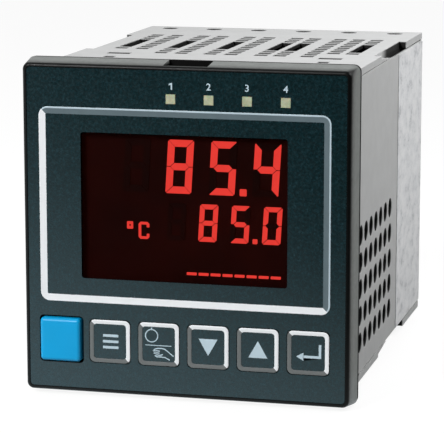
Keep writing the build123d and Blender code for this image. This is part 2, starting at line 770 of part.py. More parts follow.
def vent_slot(x, row_from, row_to):
    """One opening of a strip, over the rows from the first to the last given."""
    start = VENT_START + row_from * VENT_PITCH
    end = VENT_START + row_to * VENT_PITCH + VENT_CELL
    return Pos(x, (start + end) / 2) * Rectangle(VENT_WIDTH, end - start)


def vent_cells():
    """Strips of short cells, some with a long open window."""
    faces = []
    for i, x in vent_strips():
        window = range(WINDOW_ROWS[0], WINDOW_ROWS[1] + 1) if i in OPEN_STRIPS else []
        faces += [vent_slot(x, r, r) for r in range(first_row(x), VENT_ROWS) if r not in window]
        if window:
            faces.append(vent_slot(x, *WINDOW_ROWS))
    return faces


def vent_long_slots():
    """The same strips as long plain slots."""
    faces = []
    for _, x in vent_strips():
        rows = VENT_ROWS - first_row(x)
        length = rows // BOTTOM_SLOTS
        for i in range(BOTTOM_SLOTS):
            start = first_row(x) + i * length
            faces.append(vent_slot(x, start, start + length - 1))
    return faces


def edge_notch(side):
    """Ramped recess in the long edge of a cover, cut from its outer face."""
    top = body_half
    end = NOTCH_START + NOTCH_LENGTH
    floor = top - COVER_RIM - NOTCH_BREAK
    points = [
        (NOTCH_START, top - NOTCH_STEP),
        (NOTCH_START + NOTCH_RAMP, floor),
        (end, floor),
        (end, top + COVER_RIM),
        (NOTCH_START, top + COVER_RIM),
    ]
    wedge = make_face(Polyline(points, close=True))
    inner = side * (body_half - NOTCH_WIDTH)
    x = sorted((inner, side * FRONT))
    return sideways(wedge, *x)


def cover(vents):
    """Top cover: rimmed plate with vent strips, clamp slots, edge notches and card guides."""
    depth = HOUSING_DEPTH - housing_front
    middle = (HOUSING_DEPTH + housing_front) / 2
    outline = Pos(0, middle) * Rectangle(body, depth)
    plate = outline - vents - clamp_openings() - rear_holes()
    shell = flat(plate, under_cover, body_half)
    inner = Rectangle(2 * (body_half - COVER_LEDGE), depth - 2 * SIDE_THICK)
    rim_low = body_half - COVER_RIM
    shell += flat(outline - Pos(0, middle) * inner, rim_low, under_cover)
    guide_end = socket_front - GUIDE_END_GAP
    lip_far = inside_half - SEAT_GAP
    for side in (-1, 1):
        x = sorted((side * (lip_far - LIP_THICK), side * lip_far))
        shell += block(x, (LIP_START, guide_end), (rim_low - LIP_DEPTH, rim_low))
    for x in upright_places.values():
        for side in (-1, 1):
            near = x + side * (BOARD / 2 + RUN_GAP)
            far = near + side * GUIDE_WIDTH
            z = (under_cover - GUIDE_HEIGHT, under_cover)
            shell += block(sorted((near, far)), (GUIDE_START, guide_end), z)
    rib_z = (upright_half + RUN_GAP, under_cover)
    shell += block((-inside_half, inside_half), (guide_end, guide_end + CROSS_RIB), rib_z)
    for side in (-1, 1):
        shell -= edge_notch(side)
    return shell


def top_cover():
    return cover(vent_cells())


def bottom_cover():
    return mirror(cover(vent_long_slots()), Plane.XY)


def side_wall(side):
    """Side wall with a field of round vent holes and pockets under the edge notches."""
    depth = HOUSING_DEPTH - housing_front
    face = Pos((HOUSING_DEPTH + housing_front) / 2, 0) * Rectangle(depth, wall_height)
    columns = [SIDE_HOLE_Y + y for y in row(SIDE_HOLE_COLUMNS, SIDE_HOLE_PITCH)]
    rows = [SIDE_HOLE_RISE - wall_height / 2 + i * SIDE_HOLE_PITCH for i in range(SIDE_HOLE_ROWS)]
    hole = RegularPolygon(SIDE_HOLE_R, HOLE_SIDES)
    face -= [Pos(y, z) * hole for y in columns for z in rows]
    wall = sideways(face, *sorted((side * inside_half, side * body_half)))
    x = sorted((side * (inside_half - SIDE_THICK), side * (body_half - NOTCH_SKIN)))
    y = (NOTCH_START + NOTCH_RAMP, NOTCH_START + NOTCH_LENGTH)
    for end in (-1, 1):
        z = sorted((end * (wall_height / 2 - NOTCH_POCKET), end * wall_height))
        wall -= block(x, y, z)
    return wall


def side_label():
    """Blank rating field on the rear part of the right wall."""
    height = wall_height - 2 * LABEL_INSET
    middle = HOUSING_DEPTH - LABEL_LENGTH / 2
    face = Pos(middle, 0) * Rectangle(LABEL_LENGTH, height)
    return sideways(face, body_half, body_half + LABEL_THICK)


def rear_wall():
    """Wall between the side walls and the ledges of the covers."""
    depth = (rear_wall_front, rear_wall_back)
    return block((-inside_half, inside_half), depth, (-wall_height / 2, wall_height / 2))


def rear_sockets():
    """Slotted connectors on the rear wall that take the rear tongues of the boards."""
    half = tongue_half + RUN_GAP + REAR_SOCKET_WALL
    slot_depth = TONGUE_LENGTH
    slot_half = tongue_half + RUN_GAP
    body_solid = facing(Rectangle(REAR_SOCKET_WIDTH, 2 * half), socket_front, rear_wall_front)
    slot = Rectangle(BOARD + 2 * RUN_GAP, 2 * slot_half)
    body_solid -= facing(slot, socket_front, socket_front + slot_depth)
    return Compound(children=[Pos(x, 0, 0) * body_solid for x in upright_places.values()])


def terminal_block(x):
    """Terminal strip with one well for each screw and a wire entry from its left side."""
    height = terminals * TERMINAL_PITCH
    strip = facing(Rectangle(TERMINAL_BLOCK_WIDTH, height), rear_wall_back, HOUSING_DEPTH)
    well = Rectangle(TERMINAL_WELL_WIDTH, TERMINAL_WELL_HEIGHT)
    wells = Sketch() + [Pos(0, z) * well for z in row(terminals, TERMINAL_PITCH)]
    strip -= facing(wells, HOUSING_DEPTH - TERMINAL_WELL_DEPTH, HOUSING_DEPTH)
    entry_front = HOUSING_DEPTH - TERMINAL_WELL_DEPTH + CLAMP_PLATE
    entry = Pos(entry_front + WIRE_ENTRY / 2, 0) * Rectangle(WIRE_ENTRY, WIRE_ENTRY)
    entries = Sketch() + [Pos(0, z) * entry for z in row(terminals, TERMINAL_PITCH)]
    strip -= sideways(entries, -TERMINAL_BLOCK_WIDTH, 0)
    return Pos(x, 0, 0) * strip


def terminal_places():
    blocks = row(TERMINAL_BLOCKS, block_pitch)
    return [(x, z) for x in blocks for z in row(terminals, TERMINAL_PITCH)]


def clamp_plates():
    """Wire clamp under each terminal screw."""
    start = HOUSING_DEPTH - TERMINAL_WELL_DEPTH
    width = TERMINAL_WELL_WIDTH - 2 * SEAT_GAP
    height = TERMINAL_WELL_HEIGHT - 2 * SEAT_GAP
    plate = facing(Rectangle(width, height), start, start + CLAMP_PLATE)
    return Compound(children=[Pos(x, 0, z) * plate for x, z in terminal_places()])


def terminal_screws():
    start = HOUSING_DEPTH - TERMINAL_WELL_DEPTH + CLAMP_PLATE
    end = start + TERMINAL_SCREW_HEAD
    head = facing(RegularPolygon(TERMINAL_SCREW_R, SCREW_SIDES), start, end)
    return Compound(children=[Pos(x, 0, z) * head for x, z in terminal_places()])


def build():
    """Every node of the controller by name."""
    nodes = {
        "top_cover": top_cover(),
        "bottom_cover": bottom_cover(),
        "left_side_wall": side_wall(-1),
        "right_side_wall": side_wall(1),
        "side_label": side_label(),
        "mounting_collar": mounting_collar(),
        "panel_gasket": panel_gasket(),
        "rear_wall": rear_wall(),
        "rear_sockets": rear_sockets(),
        "clamp_plates": clamp_plates(),
        "terminal_screws": terminal_screws(),
        "front_bezel": front_bezel(),
        "front_foil": front_foil(),
        "display_ring": display_ring(),
        "display_window": display_window(),
        "display_body": display_body(),
        "main_digits": main_digits(),
        "lower_digits": lower_digits(),
        "unit_sign": unit_sign(),
        "bargraph": bargraph(),
        "light_pipes": light_pipes(),
        "indicator_leds": indicator_leds(),
        "port_cover": port_cover(),
        "interface_socket": interface_socket(),
        "key_switches": key_switches(),
        "front_board": front_board(),
        "board_screws": board_screws(),
        "board_headers": board_headers(),
        "relays": relays(),
        "transformer_core": transformer_core(),
        "transformer_coil": transformer_coil(),
        "capacitors": capacitors(),
        "logic_chips": logic_chips(),
    }
    block_names = ("left", "middle", "right")
    for name, x in zip(block_names, row(TERMINAL_BLOCKS, block_pitch)):
        nodes[name + "_terminal_block"] = terminal_block(x)
    for name, x in upright_places.items():
        nodes[name] = upright_board(x)
    for name, x in zip(("menu", "mode", "down", "up", "enter"), key_places()):
        nodes[name + "_key"] = key(x)
    return nodes


os.makedirs("parts", exist_ok=True)
for node, shape in build().items():
    export_step(shape, "parts/" + node + ".step")
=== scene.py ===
import json
import math
import random

import bmesh
import bpy
from mathutils import Matrix, Vector


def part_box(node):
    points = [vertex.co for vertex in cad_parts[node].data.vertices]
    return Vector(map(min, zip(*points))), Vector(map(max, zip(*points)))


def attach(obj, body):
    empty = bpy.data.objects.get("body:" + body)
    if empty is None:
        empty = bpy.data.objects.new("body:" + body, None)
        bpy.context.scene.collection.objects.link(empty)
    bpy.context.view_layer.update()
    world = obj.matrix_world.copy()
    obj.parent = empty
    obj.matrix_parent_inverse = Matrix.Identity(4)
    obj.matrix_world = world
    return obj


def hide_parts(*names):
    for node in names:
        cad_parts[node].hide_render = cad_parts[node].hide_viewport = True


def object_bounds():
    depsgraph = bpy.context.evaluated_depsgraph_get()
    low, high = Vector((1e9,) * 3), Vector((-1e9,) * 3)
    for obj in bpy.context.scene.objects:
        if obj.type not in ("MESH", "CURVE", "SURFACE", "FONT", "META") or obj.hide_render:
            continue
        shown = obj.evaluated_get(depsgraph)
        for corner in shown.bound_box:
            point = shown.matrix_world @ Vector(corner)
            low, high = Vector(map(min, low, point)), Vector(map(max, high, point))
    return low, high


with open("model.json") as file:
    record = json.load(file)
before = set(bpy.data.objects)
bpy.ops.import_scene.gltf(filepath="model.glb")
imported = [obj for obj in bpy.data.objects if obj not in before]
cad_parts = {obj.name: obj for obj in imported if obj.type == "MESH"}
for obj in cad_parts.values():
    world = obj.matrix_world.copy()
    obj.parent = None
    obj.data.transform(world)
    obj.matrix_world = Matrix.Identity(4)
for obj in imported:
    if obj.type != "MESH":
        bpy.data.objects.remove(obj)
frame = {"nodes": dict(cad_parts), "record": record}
cad_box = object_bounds()
nodes = frame["nodes"]

MM = 0.001
IMAGE_WIDTH = 444
IMAGE_HEIGHT = 433

# Camera, in metres and pixels of the photograph's frame
CAMERA_PLACE = (0.16435, -0.61858, 0.11887)
CAMERA_FORWARD = (-0.2407, 0.9542, -0.1775)
FOCAL_PIXELS = 2297.3
SENSOR_WIDTH = 36.0

# Outside of the housing, in millimetres
HOUSING_HALF = 45.4
HOUSING_REAR = 118.0

# Depths of the front, in millimetres. Smaller is nearer to the viewer.
FOIL_FRONT = -9.8
PRINT_PROUD = 0.03
SEGMENT_BACK = -7.3
SEGMENT_THICK = 0.3


# Materials

def new_material(name):
    material = bpy.data.materials.new(name)
    material.use_nodes = True
    tree = material.node_tree
    return material, tree, tree.nodes["Principled BSDF"]


def add_node(tree, kind, **settings):
    node = tree.nodes.new(kind)
    for key, value in settings.items():
        if key in node.inputs:
            node.inputs[key].default_value = value
        else:
            setattr(node, key, value)
    return node


def noise(tree, scale, detail=2.0, roughness=0.5, stretch=None):
    """Noise in the part's own coordinates. The scale is in cycles per metre."""
    place = add_node(tree, "ShaderNodeTexCoord")
    texture = add_node(tree, "ShaderNodeTexNoise", Scale=scale, Detail=detail, Roughness=roughness)
    if stretch:
        mapping = add_node(tree, "ShaderNodeMapping", Scale=stretch)
        tree.links.new(place.outputs["Object"], mapping.inputs["Vector"])
        tree.links.new(mapping.outputs["Vector"], texture.inputs["Vector"])
    else:
        tree.links.new(place.outputs["Object"], texture.inputs["Vector"])
    return texture.outputs["Fac"]


def ramp(tree, value, stops):
    """Colours at positions along a value from 0 to 1."""
    node = add_node(tree, "ShaderNodeValToRGB")
    elements = node.color_ramp.elements
    while len(elements) < len(stops):
        elements.new(0.5)
    for element, (position, colour) in zip(elements, stops):
        element.position = position
        element.color = (*colour, 1.0)
    tree.links.new(value, node.inputs["Fac"])
    return node.outputs["Color"]


def spread(tree, value, low, high):
    node = add_node(tree, "ShaderNodeMapRange")
    node.inputs["From Min"].default_value = 0.3
    node.inputs["From Max"].default_value = 0.7
    node.inputs["To Min"].default_value = low
    node.inputs["To Max"].default_value = high
    tree.links.new(value, node.inputs["Value"])
    return node.outputs["Result"]


def bump(tree, shader, height, distance, strength=0.5):
    node = add_node(tree, "ShaderNodeBump", Distance=distance, Strength=strength)
    tree.links.new(height, node.inputs["Height"])
    tree.links.new(node.outputs["Normal"], shader.inputs["Normal"])


def scaled(colour, factor):
    return tuple(min(1.0, c * factor) for c in colour)


def moulded(name, colour, roughness, grain, variation=0.06, depth=0.00003, specular=0.5):
    """Moulded plastic: even colour with faint clouds, fine grain and uneven gloss."""
    material, tree, shader = new_material(name)
    clouds = noise(tree, grain * 0.08, 3.0)
    tones = [(0.3, scaled(colour, 1 - variation)), (0.7, scaled(colour, 1 + variation))]
    tree.links.new(ramp(tree, clouds, tones), shader.inputs["Base Color"])
    gloss = noise(tree, grain * 0.3, 2.0)
    low, high = roughness - 0.06, roughness + 0.06
    tree.links.new(spread(tree, gloss, low, high), shader.inputs["Roughness"])
    bump(tree, shader, noise(tree, grain, 2.0), depth)
    shader.inputs["Specular IOR Level"].default_value = specular
    return material


def maths(tree, operation, first, second=None):
    node = add_node(tree, "ShaderNodeMath", operation=operation)
    tree.links.new(first, node.inputs[0])
    if second is not None:
        tree.links.new(second, node.inputs[1])
    return node.outputs[0]


def between(tree, value, start, end, low=0.0, high=1.0):
    """Rise from low to high as the value goes from start to end, in millimetres."""
    node = add_node(tree, "ShaderNodeMapRange")
    node.inputs["From Min"].default_value = start * MM
    node.inputs["From Max"].default_value = end * MM
    node.inputs["To Min"].default_value = low
    node.inputs["To Max"].default_value = high
    tree.links.new(value, node.inputs["Value"])
    return node.outputs["Result"]


def housing_plastic(name, colour, inner):
    """Fine matt plastic. Its skin has the given colour, and the inside of the housing is painted dark, in the given
    inner tone, as painted shade.
    """
    material, tree, shader = new_material(name)
    place = add_node(tree, "ShaderNodeTexCoord")
    axes = add_node(tree, "ShaderNodeSeparateXYZ")
    tree.links.new(place.outputs["Object"], axes.inputs[0])
    across = maths(tree, "ABSOLUTE", axes.outputs["X"])
    up = maths(tree, "ABSOLUTE", axes.outputs["Z"])
    along = axes.outputs["Y"]
    # Painted shade: inside the outer skin the colour goes dark, except on the ramps ahead of the edge notches, at the
    # front mouth and at the rear end.
    skin = between(tree, maths(tree, "MAXIMUM", across, up), HOUSING_HALF - 0.3, HOUSING_HALF - 0.04)
    edge = between(tree, maths(tree, "MINIMUM", across, up), HOUSING_HALF - 4.0, HOUSING_HALF - 3.0)
    ahead = between(tree, along, 57.0, 66.0, 1.0, 0.0)
    mouth = between(tree, along, -1.0, 9.0, 1.0, 0.0)
    behind = between(tree, along, HOUSING_REAR - 9.2, HOUSING_REAR - 8.4)
    below = between(tree, maths(tree, "MAXIMUM", across, up), HOUSING_HALF - 2.0, HOUSING_HALF - 1.6, 1.0, 0.0)
    end = between(tree, along, HOUSING_REAR - 0.2, HOUSING_REAR - 0.05)
    rear = maths(tree, "MAXIMUM", maths(tree, "MULTIPLY", behind, below), end)
    lit = maths(tree, "MAXIMUM", skin, maths(tree, "MULTIPLY", edge, ahead))
    lit = maths(tree, "MAXIMUM", lit, maths(tree, "MAXIMUM", mouth, rear))
    clouds = noise(tree, 180.0, 3.0)
    tones = ramp(tree, clouds, [(0.3, scaled(colour, 0.97)), (0.7, scaled(colour, 1.03))])
    depth = add_node(tree, "ShaderNodeMix", data_type="RGBA")
    depth.inputs["A"].default_value = (inner, inner, inner, 1.0)
    tree.links.new(lit, depth.inputs["Factor"])
    tree.links.new(tones, depth.inputs["B"])
    tree.links.new(depth.outputs["Result"], shader.inputs["Base Color"])
    tree.links.new(spread(tree, noise(tree, 700.0), 0.58, 0.7), shader.inputs["Roughness"])
    shader.inputs["Specular IOR Level"].default_value = 0.1
    bump(tree, shader, noise(tree, 2200.0), 0.00003)
    return material


def bezel_plastic(name, black, grey):
    """Fine moulding, grey around its sides. The front edge, the strip next to the panel and all other faces are
    painted black: painted dark reflection on the front edge, and painted shade next to the panel and inside.
    """
    material, tree, shader = new_material(name)
    place = add_node(tree, "ShaderNodeTexCoord")
    axes = add_node(tree, "ShaderNodeSeparateXYZ")
    tree.links.new(place.outputs["Object"], axes.inputs[0])
    across = maths(tree, "ABSOLUTE", axes.outputs["X"])
    up = maths(tree, "ABSOLUTE", axes.outputs["Z"])
    along = axes.outputs["Y"]
    # Painted dark reflection and painted shade: only the outer sides and top, behind the front edge and ahead of the
    # strip next to the panel, keep the grey; the rest takes the black.
    sides = maths(tree, "MULTIPLY", between(tree, across, 46.9, 47.5), between(tree, along, -8.8, -7.9))
    level = maths(tree, "MULTIPLY", between(tree, up, 46.9, 47.5), between(tree, along, -9.7, -9.2))
    rear = between(tree, along, -2.2, -1.8, 1.0, 0.0)
    lit = maths(tree, "MULTIPLY", maths(tree, "MAXIMUM", sides, level), rear)
    clouds = noise(tree, 208.0, 3.0)
    tones = ramp(tree, clouds, [(0.3, scaled(grey, 0.92)), (0.7, scaled(grey, 1.08))])
    depth = add_node(tree, "ShaderNodeMix", data_type="RGBA")
    depth.inputs["A"].default_value = (*black, 1.0)
    tree.links.new(lit, depth.inputs["Factor"])
    tree.links.new(tones, depth.inputs["B"])
    tree.links.new(depth.outputs["Result"], shader.inputs["Base Color"])
    tree.links.new(spread(tree, noise(tree, 780.0), 0.3, 0.42), shader.inputs["Roughness"])
    shader.inputs["Specular IOR Level"].default_value = 0.12
    bump(tree, shader, noise(tree, 2600.0), 0.00003)
    return material


def metal(name, colour, roughness, scale, stretch=None):
    """Metal with a fine brushed or plated surface."""
    material, tree, shader = new_material(name)
    shader.inputs["Metallic"].default_value = 1.0
    streaks = noise(tree, scale, 3.0, 0.6, stretch)
    tones = [(0.25, scaled(colour, 0.86)), (0.75, scaled(colour, 1.1))]
    tree.links.new(ramp(tree, streaks, tones), shader.inputs["Base Color"])
    low, high = roughness - 0.08, roughness + 0.1
    tree.links.new(spread(tree, streaks, low, high), shader.inputs["Roughness"])
    bump(tree, shader, streaks, 0.00001, 0.3)
    return material


def glowing(name, colour, strength):
    """Luminous plastic, a little brighter in spots."""
    material, tree, shader = new_material(name)
    shader.inputs["Roughness"].default_value = 0.6
    shader.inputs["Specular IOR Level"].default_value = 0.1
    shader.inputs["Base Color"].default_value = (0.05, 0.002, 0.001, 1.0)
    cells = noise(tree, 700.0, 1.0)
    tones = [(0.2, scaled(colour, 0.93)), (0.8, scaled(colour, 1.03))]
    tree.links.new(ramp(tree, cells, tones), shader.inputs["Emission Color"])
    shader.inputs["Emission Strength"].default_value = strength
    return material


def tinted_window():
    """Smoke-red filter in front of the digits."""
    material, tree, shader = new_material("window_red")
    shader.inputs["Specular IOR Level"].default_value = 0.02
    shader.inputs["Alpha"].default_value = 0.3
    clouds = noise(tree, 60.0, 2.0)
    tones = [(0.3, (0.009, 0.0006, 0.0)), (0.7, (0.019, 0.0012, 0.0001))]
    tree.links.new(ramp(tree, clouds, tones), shader.inputs["Base Color"])
    tree.links.new(spread(tree, noise(tree, 900.0), 0.24, 0.32), shader.inputs["Roughness"])
    material.surface_render_method = "BLENDED"
    return material


def membrane():
    """Dark satin membrane with a fine grain and tiny light specks."""
    material, tree, shader = new_material("foil_dark")
    grain = noise(tree, 1500.0, 5.0, 0.75)
    tones = [
        (0.25, (0.0004, 0.005, 0.006)),
        (0.5, (0.0012, 0.013, 0.0155)),
        (0.64, (0.005, 0.027, 0.034)),
        (0.76, (0.022, 0.050, 0.064)),
    ]
    tree.links.new(ramp(tree, grain, tones), shader.inputs["Base Color"])
    tree.links.new(spread(tree, noise(tree, 1200.0), 0.2, 0.3), shader.inputs["Roughness"])
    shader.inputs["Specular IOR Level"].default_value = 0.5
    shader.inputs["Specular Tint"].default_value = (0.78, 0.93, 1.0, 1.0)
    bump(tree, shader, grain, 0.00001, 0.35)
    return material


def mottled():
    """Matt film with soft cloudy veins."""
    material, tree, shader = new_material("label_grey")
    veins = noise(tree, 330.0, 7.0, 0.72, (0.45, 0.45, 0.8))
    tones = [
        (0.34, (0.52, 0.53, 0.55)),
        (0.44, (0.77, 0.78, 0.80)),
        (0.56, (0.88, 0.885, 0.90)),
        (0.70, (0.94, 0.94, 0.95)),
    ]
    tree.links.new(ramp(tree, veins, tones), shader.inputs["Base Color"])
    tree.links.new(spread(tree, noise(tree, 500.0), 0.5, 0.65), shader.inputs["Roughness"])
    bump(tree, shader, noise(tree, 3000.0), 0.00001)
    return material


def circuit_board():
    """Green solder mask over faint tracks, with copper showing through in lines."""
    material, tree, shader = new_material("board_green")
    place = add_node(tree, "ShaderNodeTexCoord")
    tracks = add_node(tree, "ShaderNodeTexBrick", Scale=420.0)
    tracks.inputs["Color1"].default_value = (0.012, 0.090, 0.035, 1.0)
    tracks.inputs["Color2"].default_value = (0.014, 0.105, 0.042, 1.0)
    tracks.inputs["Mortar"].default_value = (0.030, 0.170, 0.070, 1.0)
    tracks.inputs["Mortar Size"].default_value = 0.03
    tracks.offset = 0.37
    turn = add_node(tree, "ShaderNodeMapping")
    turn.inputs["Rotation"].default_value = (math.radians(90), 0.0, math.radians(90))
    tree.links.new(place.outputs["Object"], turn.inputs["Vector"])
    tree.links.new(turn.outputs["Vector"], tracks.inputs["Vector"])
    tree.links.new(tracks.outputs["Color"], shader.inputs["Base Color"])
    tree.links.new(spread(tree, noise(tree, 800.0), 0.25, 0.4), shader.inputs["Roughness"])
    bump(tree, shader, tracks.outputs["Fac"], 0.00003)
    return material


def stacked_sheets():
    """Edges of the thin sheets of a transformer core."""
    material, tree, shader = new_material("core_steel")
    place = add_node(tree, "ShaderNodeTexCoord")
    sheets = add_node(tree, "ShaderNodeTexWave", Scale=320.0, Distortion=0.6, Detail=1.0)
    sheets.bands_direction = "X"
    tree.links.new(place.outputs["Object"], sheets.inputs["Vector"])
    tones = [(0.1, (0.13, 0.13, 0.135)), (0.6, (0.30, 0.30, 0.31))]
    tree.links.new(ramp(tree, sheets.outputs["Fac"], tones), shader.inputs["Base Color"])
    shader.inputs["Metallic"].default_value = 0.9
    tree.links.new(spread(tree, noise(tree, 900.0), 0.38, 0.55), shader.inputs["Roughness"])
    bump(tree, shader, sheets.outputs["Fac"], 0.00006)
    return material


def wrapped_tape():
    """Yellow tape around a winding."""
    material, tree, shader = new_material("coil_wrap")
    place = add_node(tree, "ShaderNodeTexCoord")
    turns = add_node(tree, "ShaderNodeTexWave", Scale=90.0, Distortion=0.4, Detail=2.0)
    turns.bands_direction = "X"
    tree.links.new(place.outputs["Object"], turns.inputs["Vector"])
    tones = [(0.2, (0.52, 0.33, 0.05)), (0.8, (0.70, 0.48, 0.10))]
    tree.links.new(ramp(tree, turns.outputs["Fac"], tones), shader.inputs["Base Color"])
    tree.links.new(spread(tree, noise(tree, 600.0), 0.3, 0.45), shader.inputs["Roughness"])
    bump(tree, shader, turns.outputs["Fac"], 0.00005)
    return material


def lens():
    """Pale translucent moulding with soft shading inside."""
    material, tree, shader = new_material("lens_pale")
    inside = noise(tree, 500.0, 2.0)
    tones = [(0.3, (0.42, 0.45, 0.29)), (0.7, (0.60, 0.62, 0.44))]
    tree.links.new(ramp(tree, inside, tones), shader.inputs["Base Color"])
    tree.links.new(spread(tree, noise(tree, 1500.0), 0.2, 0.32), shader.inputs["Roughness"])
    shader.inputs["Subsurface Weight"].default_value = 0.3
    shader.inputs["Subsurface Scale"].default_value = 0.001
    return material


materials = {
    # The last number is the tone of the painted shade inside the housing.
    "housing_grey": housing_plastic("housing_grey", (0.56, 0.565, 0.565), 0.02),
    "label_grey": mottled(),
    "gasket_black": moulded("gasket_black", (0.006, 0.006, 0.006), 0.8, 1500.0, 0.2, specular=0.03),
    "bezel_grey": bezel_plastic("bezel_grey", (0.004, 0.0045, 0.0045), (0.185, 0.197, 0.190)),
    "foil_dark": membrane(),
    "ring_silver": metal("ring_silver", (0.45, 0.54, 0.61), 0.4, 2500.0),
    "window_red": tinted_window(),
    "display_black": moulded("display_black", (0.022, 0.0016, 0.001), 0.7, 900.0, 0.3, specular=0.1),
    "segment_red": glowing("segment_red", (0.95, 0.055, 0.042), 1.65),
    "lens_pale": lens(),
    "cover_blue": moulded("cover_blue", (0.001, 0.40, 0.80), 0.38, 500.0, 0.08, 0.00002, specular=0.3),
    "board_green": circuit_board(),
    "connector_black": moulded("connector_black", (0.016, 0.016, 0.017), 0.5, 2000.0, 0.2),
    "part_black": moulded("part_black", (0.022, 0.022, 0.024), 0.35, 1800.0, 0.2),
    "can_dark": moulded("can_dark", (0.02, 0.03, 0.09), 0.3, 900.0, 0.15),
    "core_steel": stacked_sheets(),
    "coil_wrap": wrapped_tape(),
    "terminal_dark": moulded("terminal_dark", (0.05, 0.055, 0.058), 0.5, 2000.0, 0.12),
    "screw_steel": metal("screw_steel", (0.66, 0.66, 0.63), 0.32, 3500.0),
}
# Lit and shaded copies of the silver of the embossed lines: painted highlight, painted highlight along the outer edge,
# and painted shade. frame_shade is the painted shade on the key frames.
silver_light = moulded("silver_light", (0.93, 0.96, 0.99), 0.42, 2400.0, 0.02)
silver_edge_highlight = moulded("silver_edge_highlight", (0.53, 0.65, 0.72), 0.42, 2400.0, 0.04)
silver_shade = moulded("silver_shade", (0.125, 0.17, 0.19), 0.5, 2400.0, 0.08, specular=0.2)
frame_shade = moulded("frame_shade", (0.145, 0.155, 0.155), 0.45, 2400.0, 0.06)
solder = metal("solder", (0.72, 0.73, 0.74), 0.3, 3000.0)
contact_gold = metal("contact_gold", (0.83, 0.61, 0.24), 0.28, 2500.0)
ceramic_tan = moulded("ceramic_tan", (0.55, 0.38, 0.20), 0.5, 1500.0, 0.1)
resistor_blue = moulded("resistor_blue", (0.10, 0.28, 0.42), 0.4, 1500.0, 0.1)
band_brown = moulded("band_brown", (0.12, 0.04, 0.02), 0.45, 1500.0, 0.1)
film_yellow = moulded("film_yellow", (0.78, 0.55, 0.07), 0.35, 900.0, 0.06)
stripe_pale = moulded("stripe_pale", (0.50, 0.53, 0.60), 0.4, 900.0, 0.06)
print_white = moulded("print_white", (0.56, 0.70, 0.78), 0.5, 2400.0, 0.05)
unlit = moulded("segment_unlit", (0.006, 0.0008, 0.0006), 0.6, 900.0, 0.2, specular=0.1)

for part in frame["record"]["subparts"]:
    mesh = nodes[part["node"]].data
    mesh.materials.clear()
    mesh.materials.append(materials[part["material_slot"]])


# Flat shapes on the front, drawn in X and Z

UPRIGHT = Matrix(((1, 0, 0, 0), (0, 0, -1, 0), (0, 1, 0, 0), (0, 0, 0, 1)))
SIDEWAYS = Matrix(((0, 0, 1, 0), (1, 0, 0, 0), (0, 1, 0, 0), (0, 0, 0, 1)))


def outline_mesh(name, loops, y_front, y_back, bevel=0.0, turn=UPRIGHT):
    """Plate between two depths, in millimetres. Loops inside another one are holes."""
    curve = bpy.data.curves.new(name, "CURVE")
    curve.dimensions = "2D"
    curve.fill_mode = "BOTH"
    for loop in loops:
        spline = curve.splines.new("POLY")
        spline.points.add(len(loop) - 1)
        for point, (x, z) in zip(spline.points, loop):
            point.co = (x * MM, z * MM, 0.0, 1.0)
        spline.use_cyclic_u = True
    curve.extrude = ((y_back - y_front) / 2 - bevel) * MM
    curve.bevel_depth = bevel * MM
    curve.offset = -bevel * MM
    curve.bevel_resolution = 1 if bevel else 0
    holder = bpy.data.objects.new(name + "_curve", curve)
    bpy.context.scene.collection.objects.link(holder)
    mesh = bpy.data.meshes.new_from_object(holder)
    bpy.data.objects.remove(holder)
    bpy.data.curves.remove(curve)
    middle = (y_front + y_back) / 2 * MM
    shift = Vector((0, 0, -middle if turn is UPRIGHT else middle))
    mesh.transform(turn @ Matrix.Translation(shift))
    mesh.name = name
    return mesh


def add_piece(name, mesh, material, body, replaced=()):
    piece = bpy.data.objects.new(name, mesh)
    bpy.context.scene.collection.objects.link(piece)
    if material:
        mesh.materials.clear()
        mesh.materials.append(material)
    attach(piece, body)
    if replaced:
        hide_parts(*replaced)
    return piece


def plate(name, loops, y_front, y_back, material, body, replaced=(), bevel=0.0):
    mesh = outline_mesh(name, loops, y_front, y_back, bevel)
    return add_piece(name, mesh, material, body, replaced)


def moved(loop, x, z):
    return [(px + x, pz + z) for px, pz in loop]


def arc(x, z, radius, start, end, steps):
    angles = [math.radians(start + (end - start) * i / steps) for i in range(steps + 1)]
    return [(x + radius * math.cos(a), z + radius * math.sin(a)) for a in angles]


def rounded_rectangle(width, height, radius, steps=6):
    x, z = width / 2 - radius, height / 2 - radius
    loop = []
    for cx, cz, start in ((x, z, 0), (-x, z, 90), (-x, -z, 180), (x, -z, 270)):
        loop += arc(cx, cz, radius, start, start + 90, steps)
    return loop


def stroke(points, width):
    """Outline of an open line of even width, with square ends."""
    left, right = [], []
    for i, point in enumerate(points):
        before = Vector(points[max(i - 1, 0)])
        after = Vector(points[min(i + 1, len(points) - 1)])
        here = Vector(point)
        first = (here - before).normalized() if i else (after - here).normalized()
        second = (after - here).normalized() if i < len(points) - 1 else first
        normal = Vector((-(first.y + second.y), first.x + second.x)).normalized()
        reach = width / 2 / max(0.4, normal.dot(Vector((-first.y, first.x))))
        left.append(tuple(here + normal * reach))
        right.append(tuple(here - normal * reach))
    return left + right[::-1]


def centre_of(node):
    """Middle of a CAD node in millimetres."""
    low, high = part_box(node)
    return (low + high) / 2 / MM


# Housing

WALL_HOLE_R = 2.95
WALL_HOLE_PITCH = 7.85
WALL_HOLE_COLUMNS = 7
WALL_HOLE_ROWS = 5
WALL_HOLE_Y = 38.7
WALL_HOLE_RISE = 9.25
WALL_BEVEL = 0.15
SEAM = 0.3                  # left open between a side wall and the covers
NOTCH_SKIN = 0.7
NOTCH_Y = (64.0, 88.0)
NOTCH_POCKET = 4.0


def box_mesh(low, high):
    """Closed box between two corners in millimetres."""
    corners = [(x * MM, y * MM, z * MM) for x in (low[0], high[0]) for y in (low[1], high[1]) for z in (low[2], high[2])]
    faces = [(0, 1, 3, 2), (4, 6, 7, 5), (0, 4, 5, 1), (2, 3, 7, 6), (0, 2, 6, 4), (1, 5, 7, 3)]
    mesh = bpy.data.meshes.new("box")
    mesh.from_pydata(corners, [], faces)
    return mesh


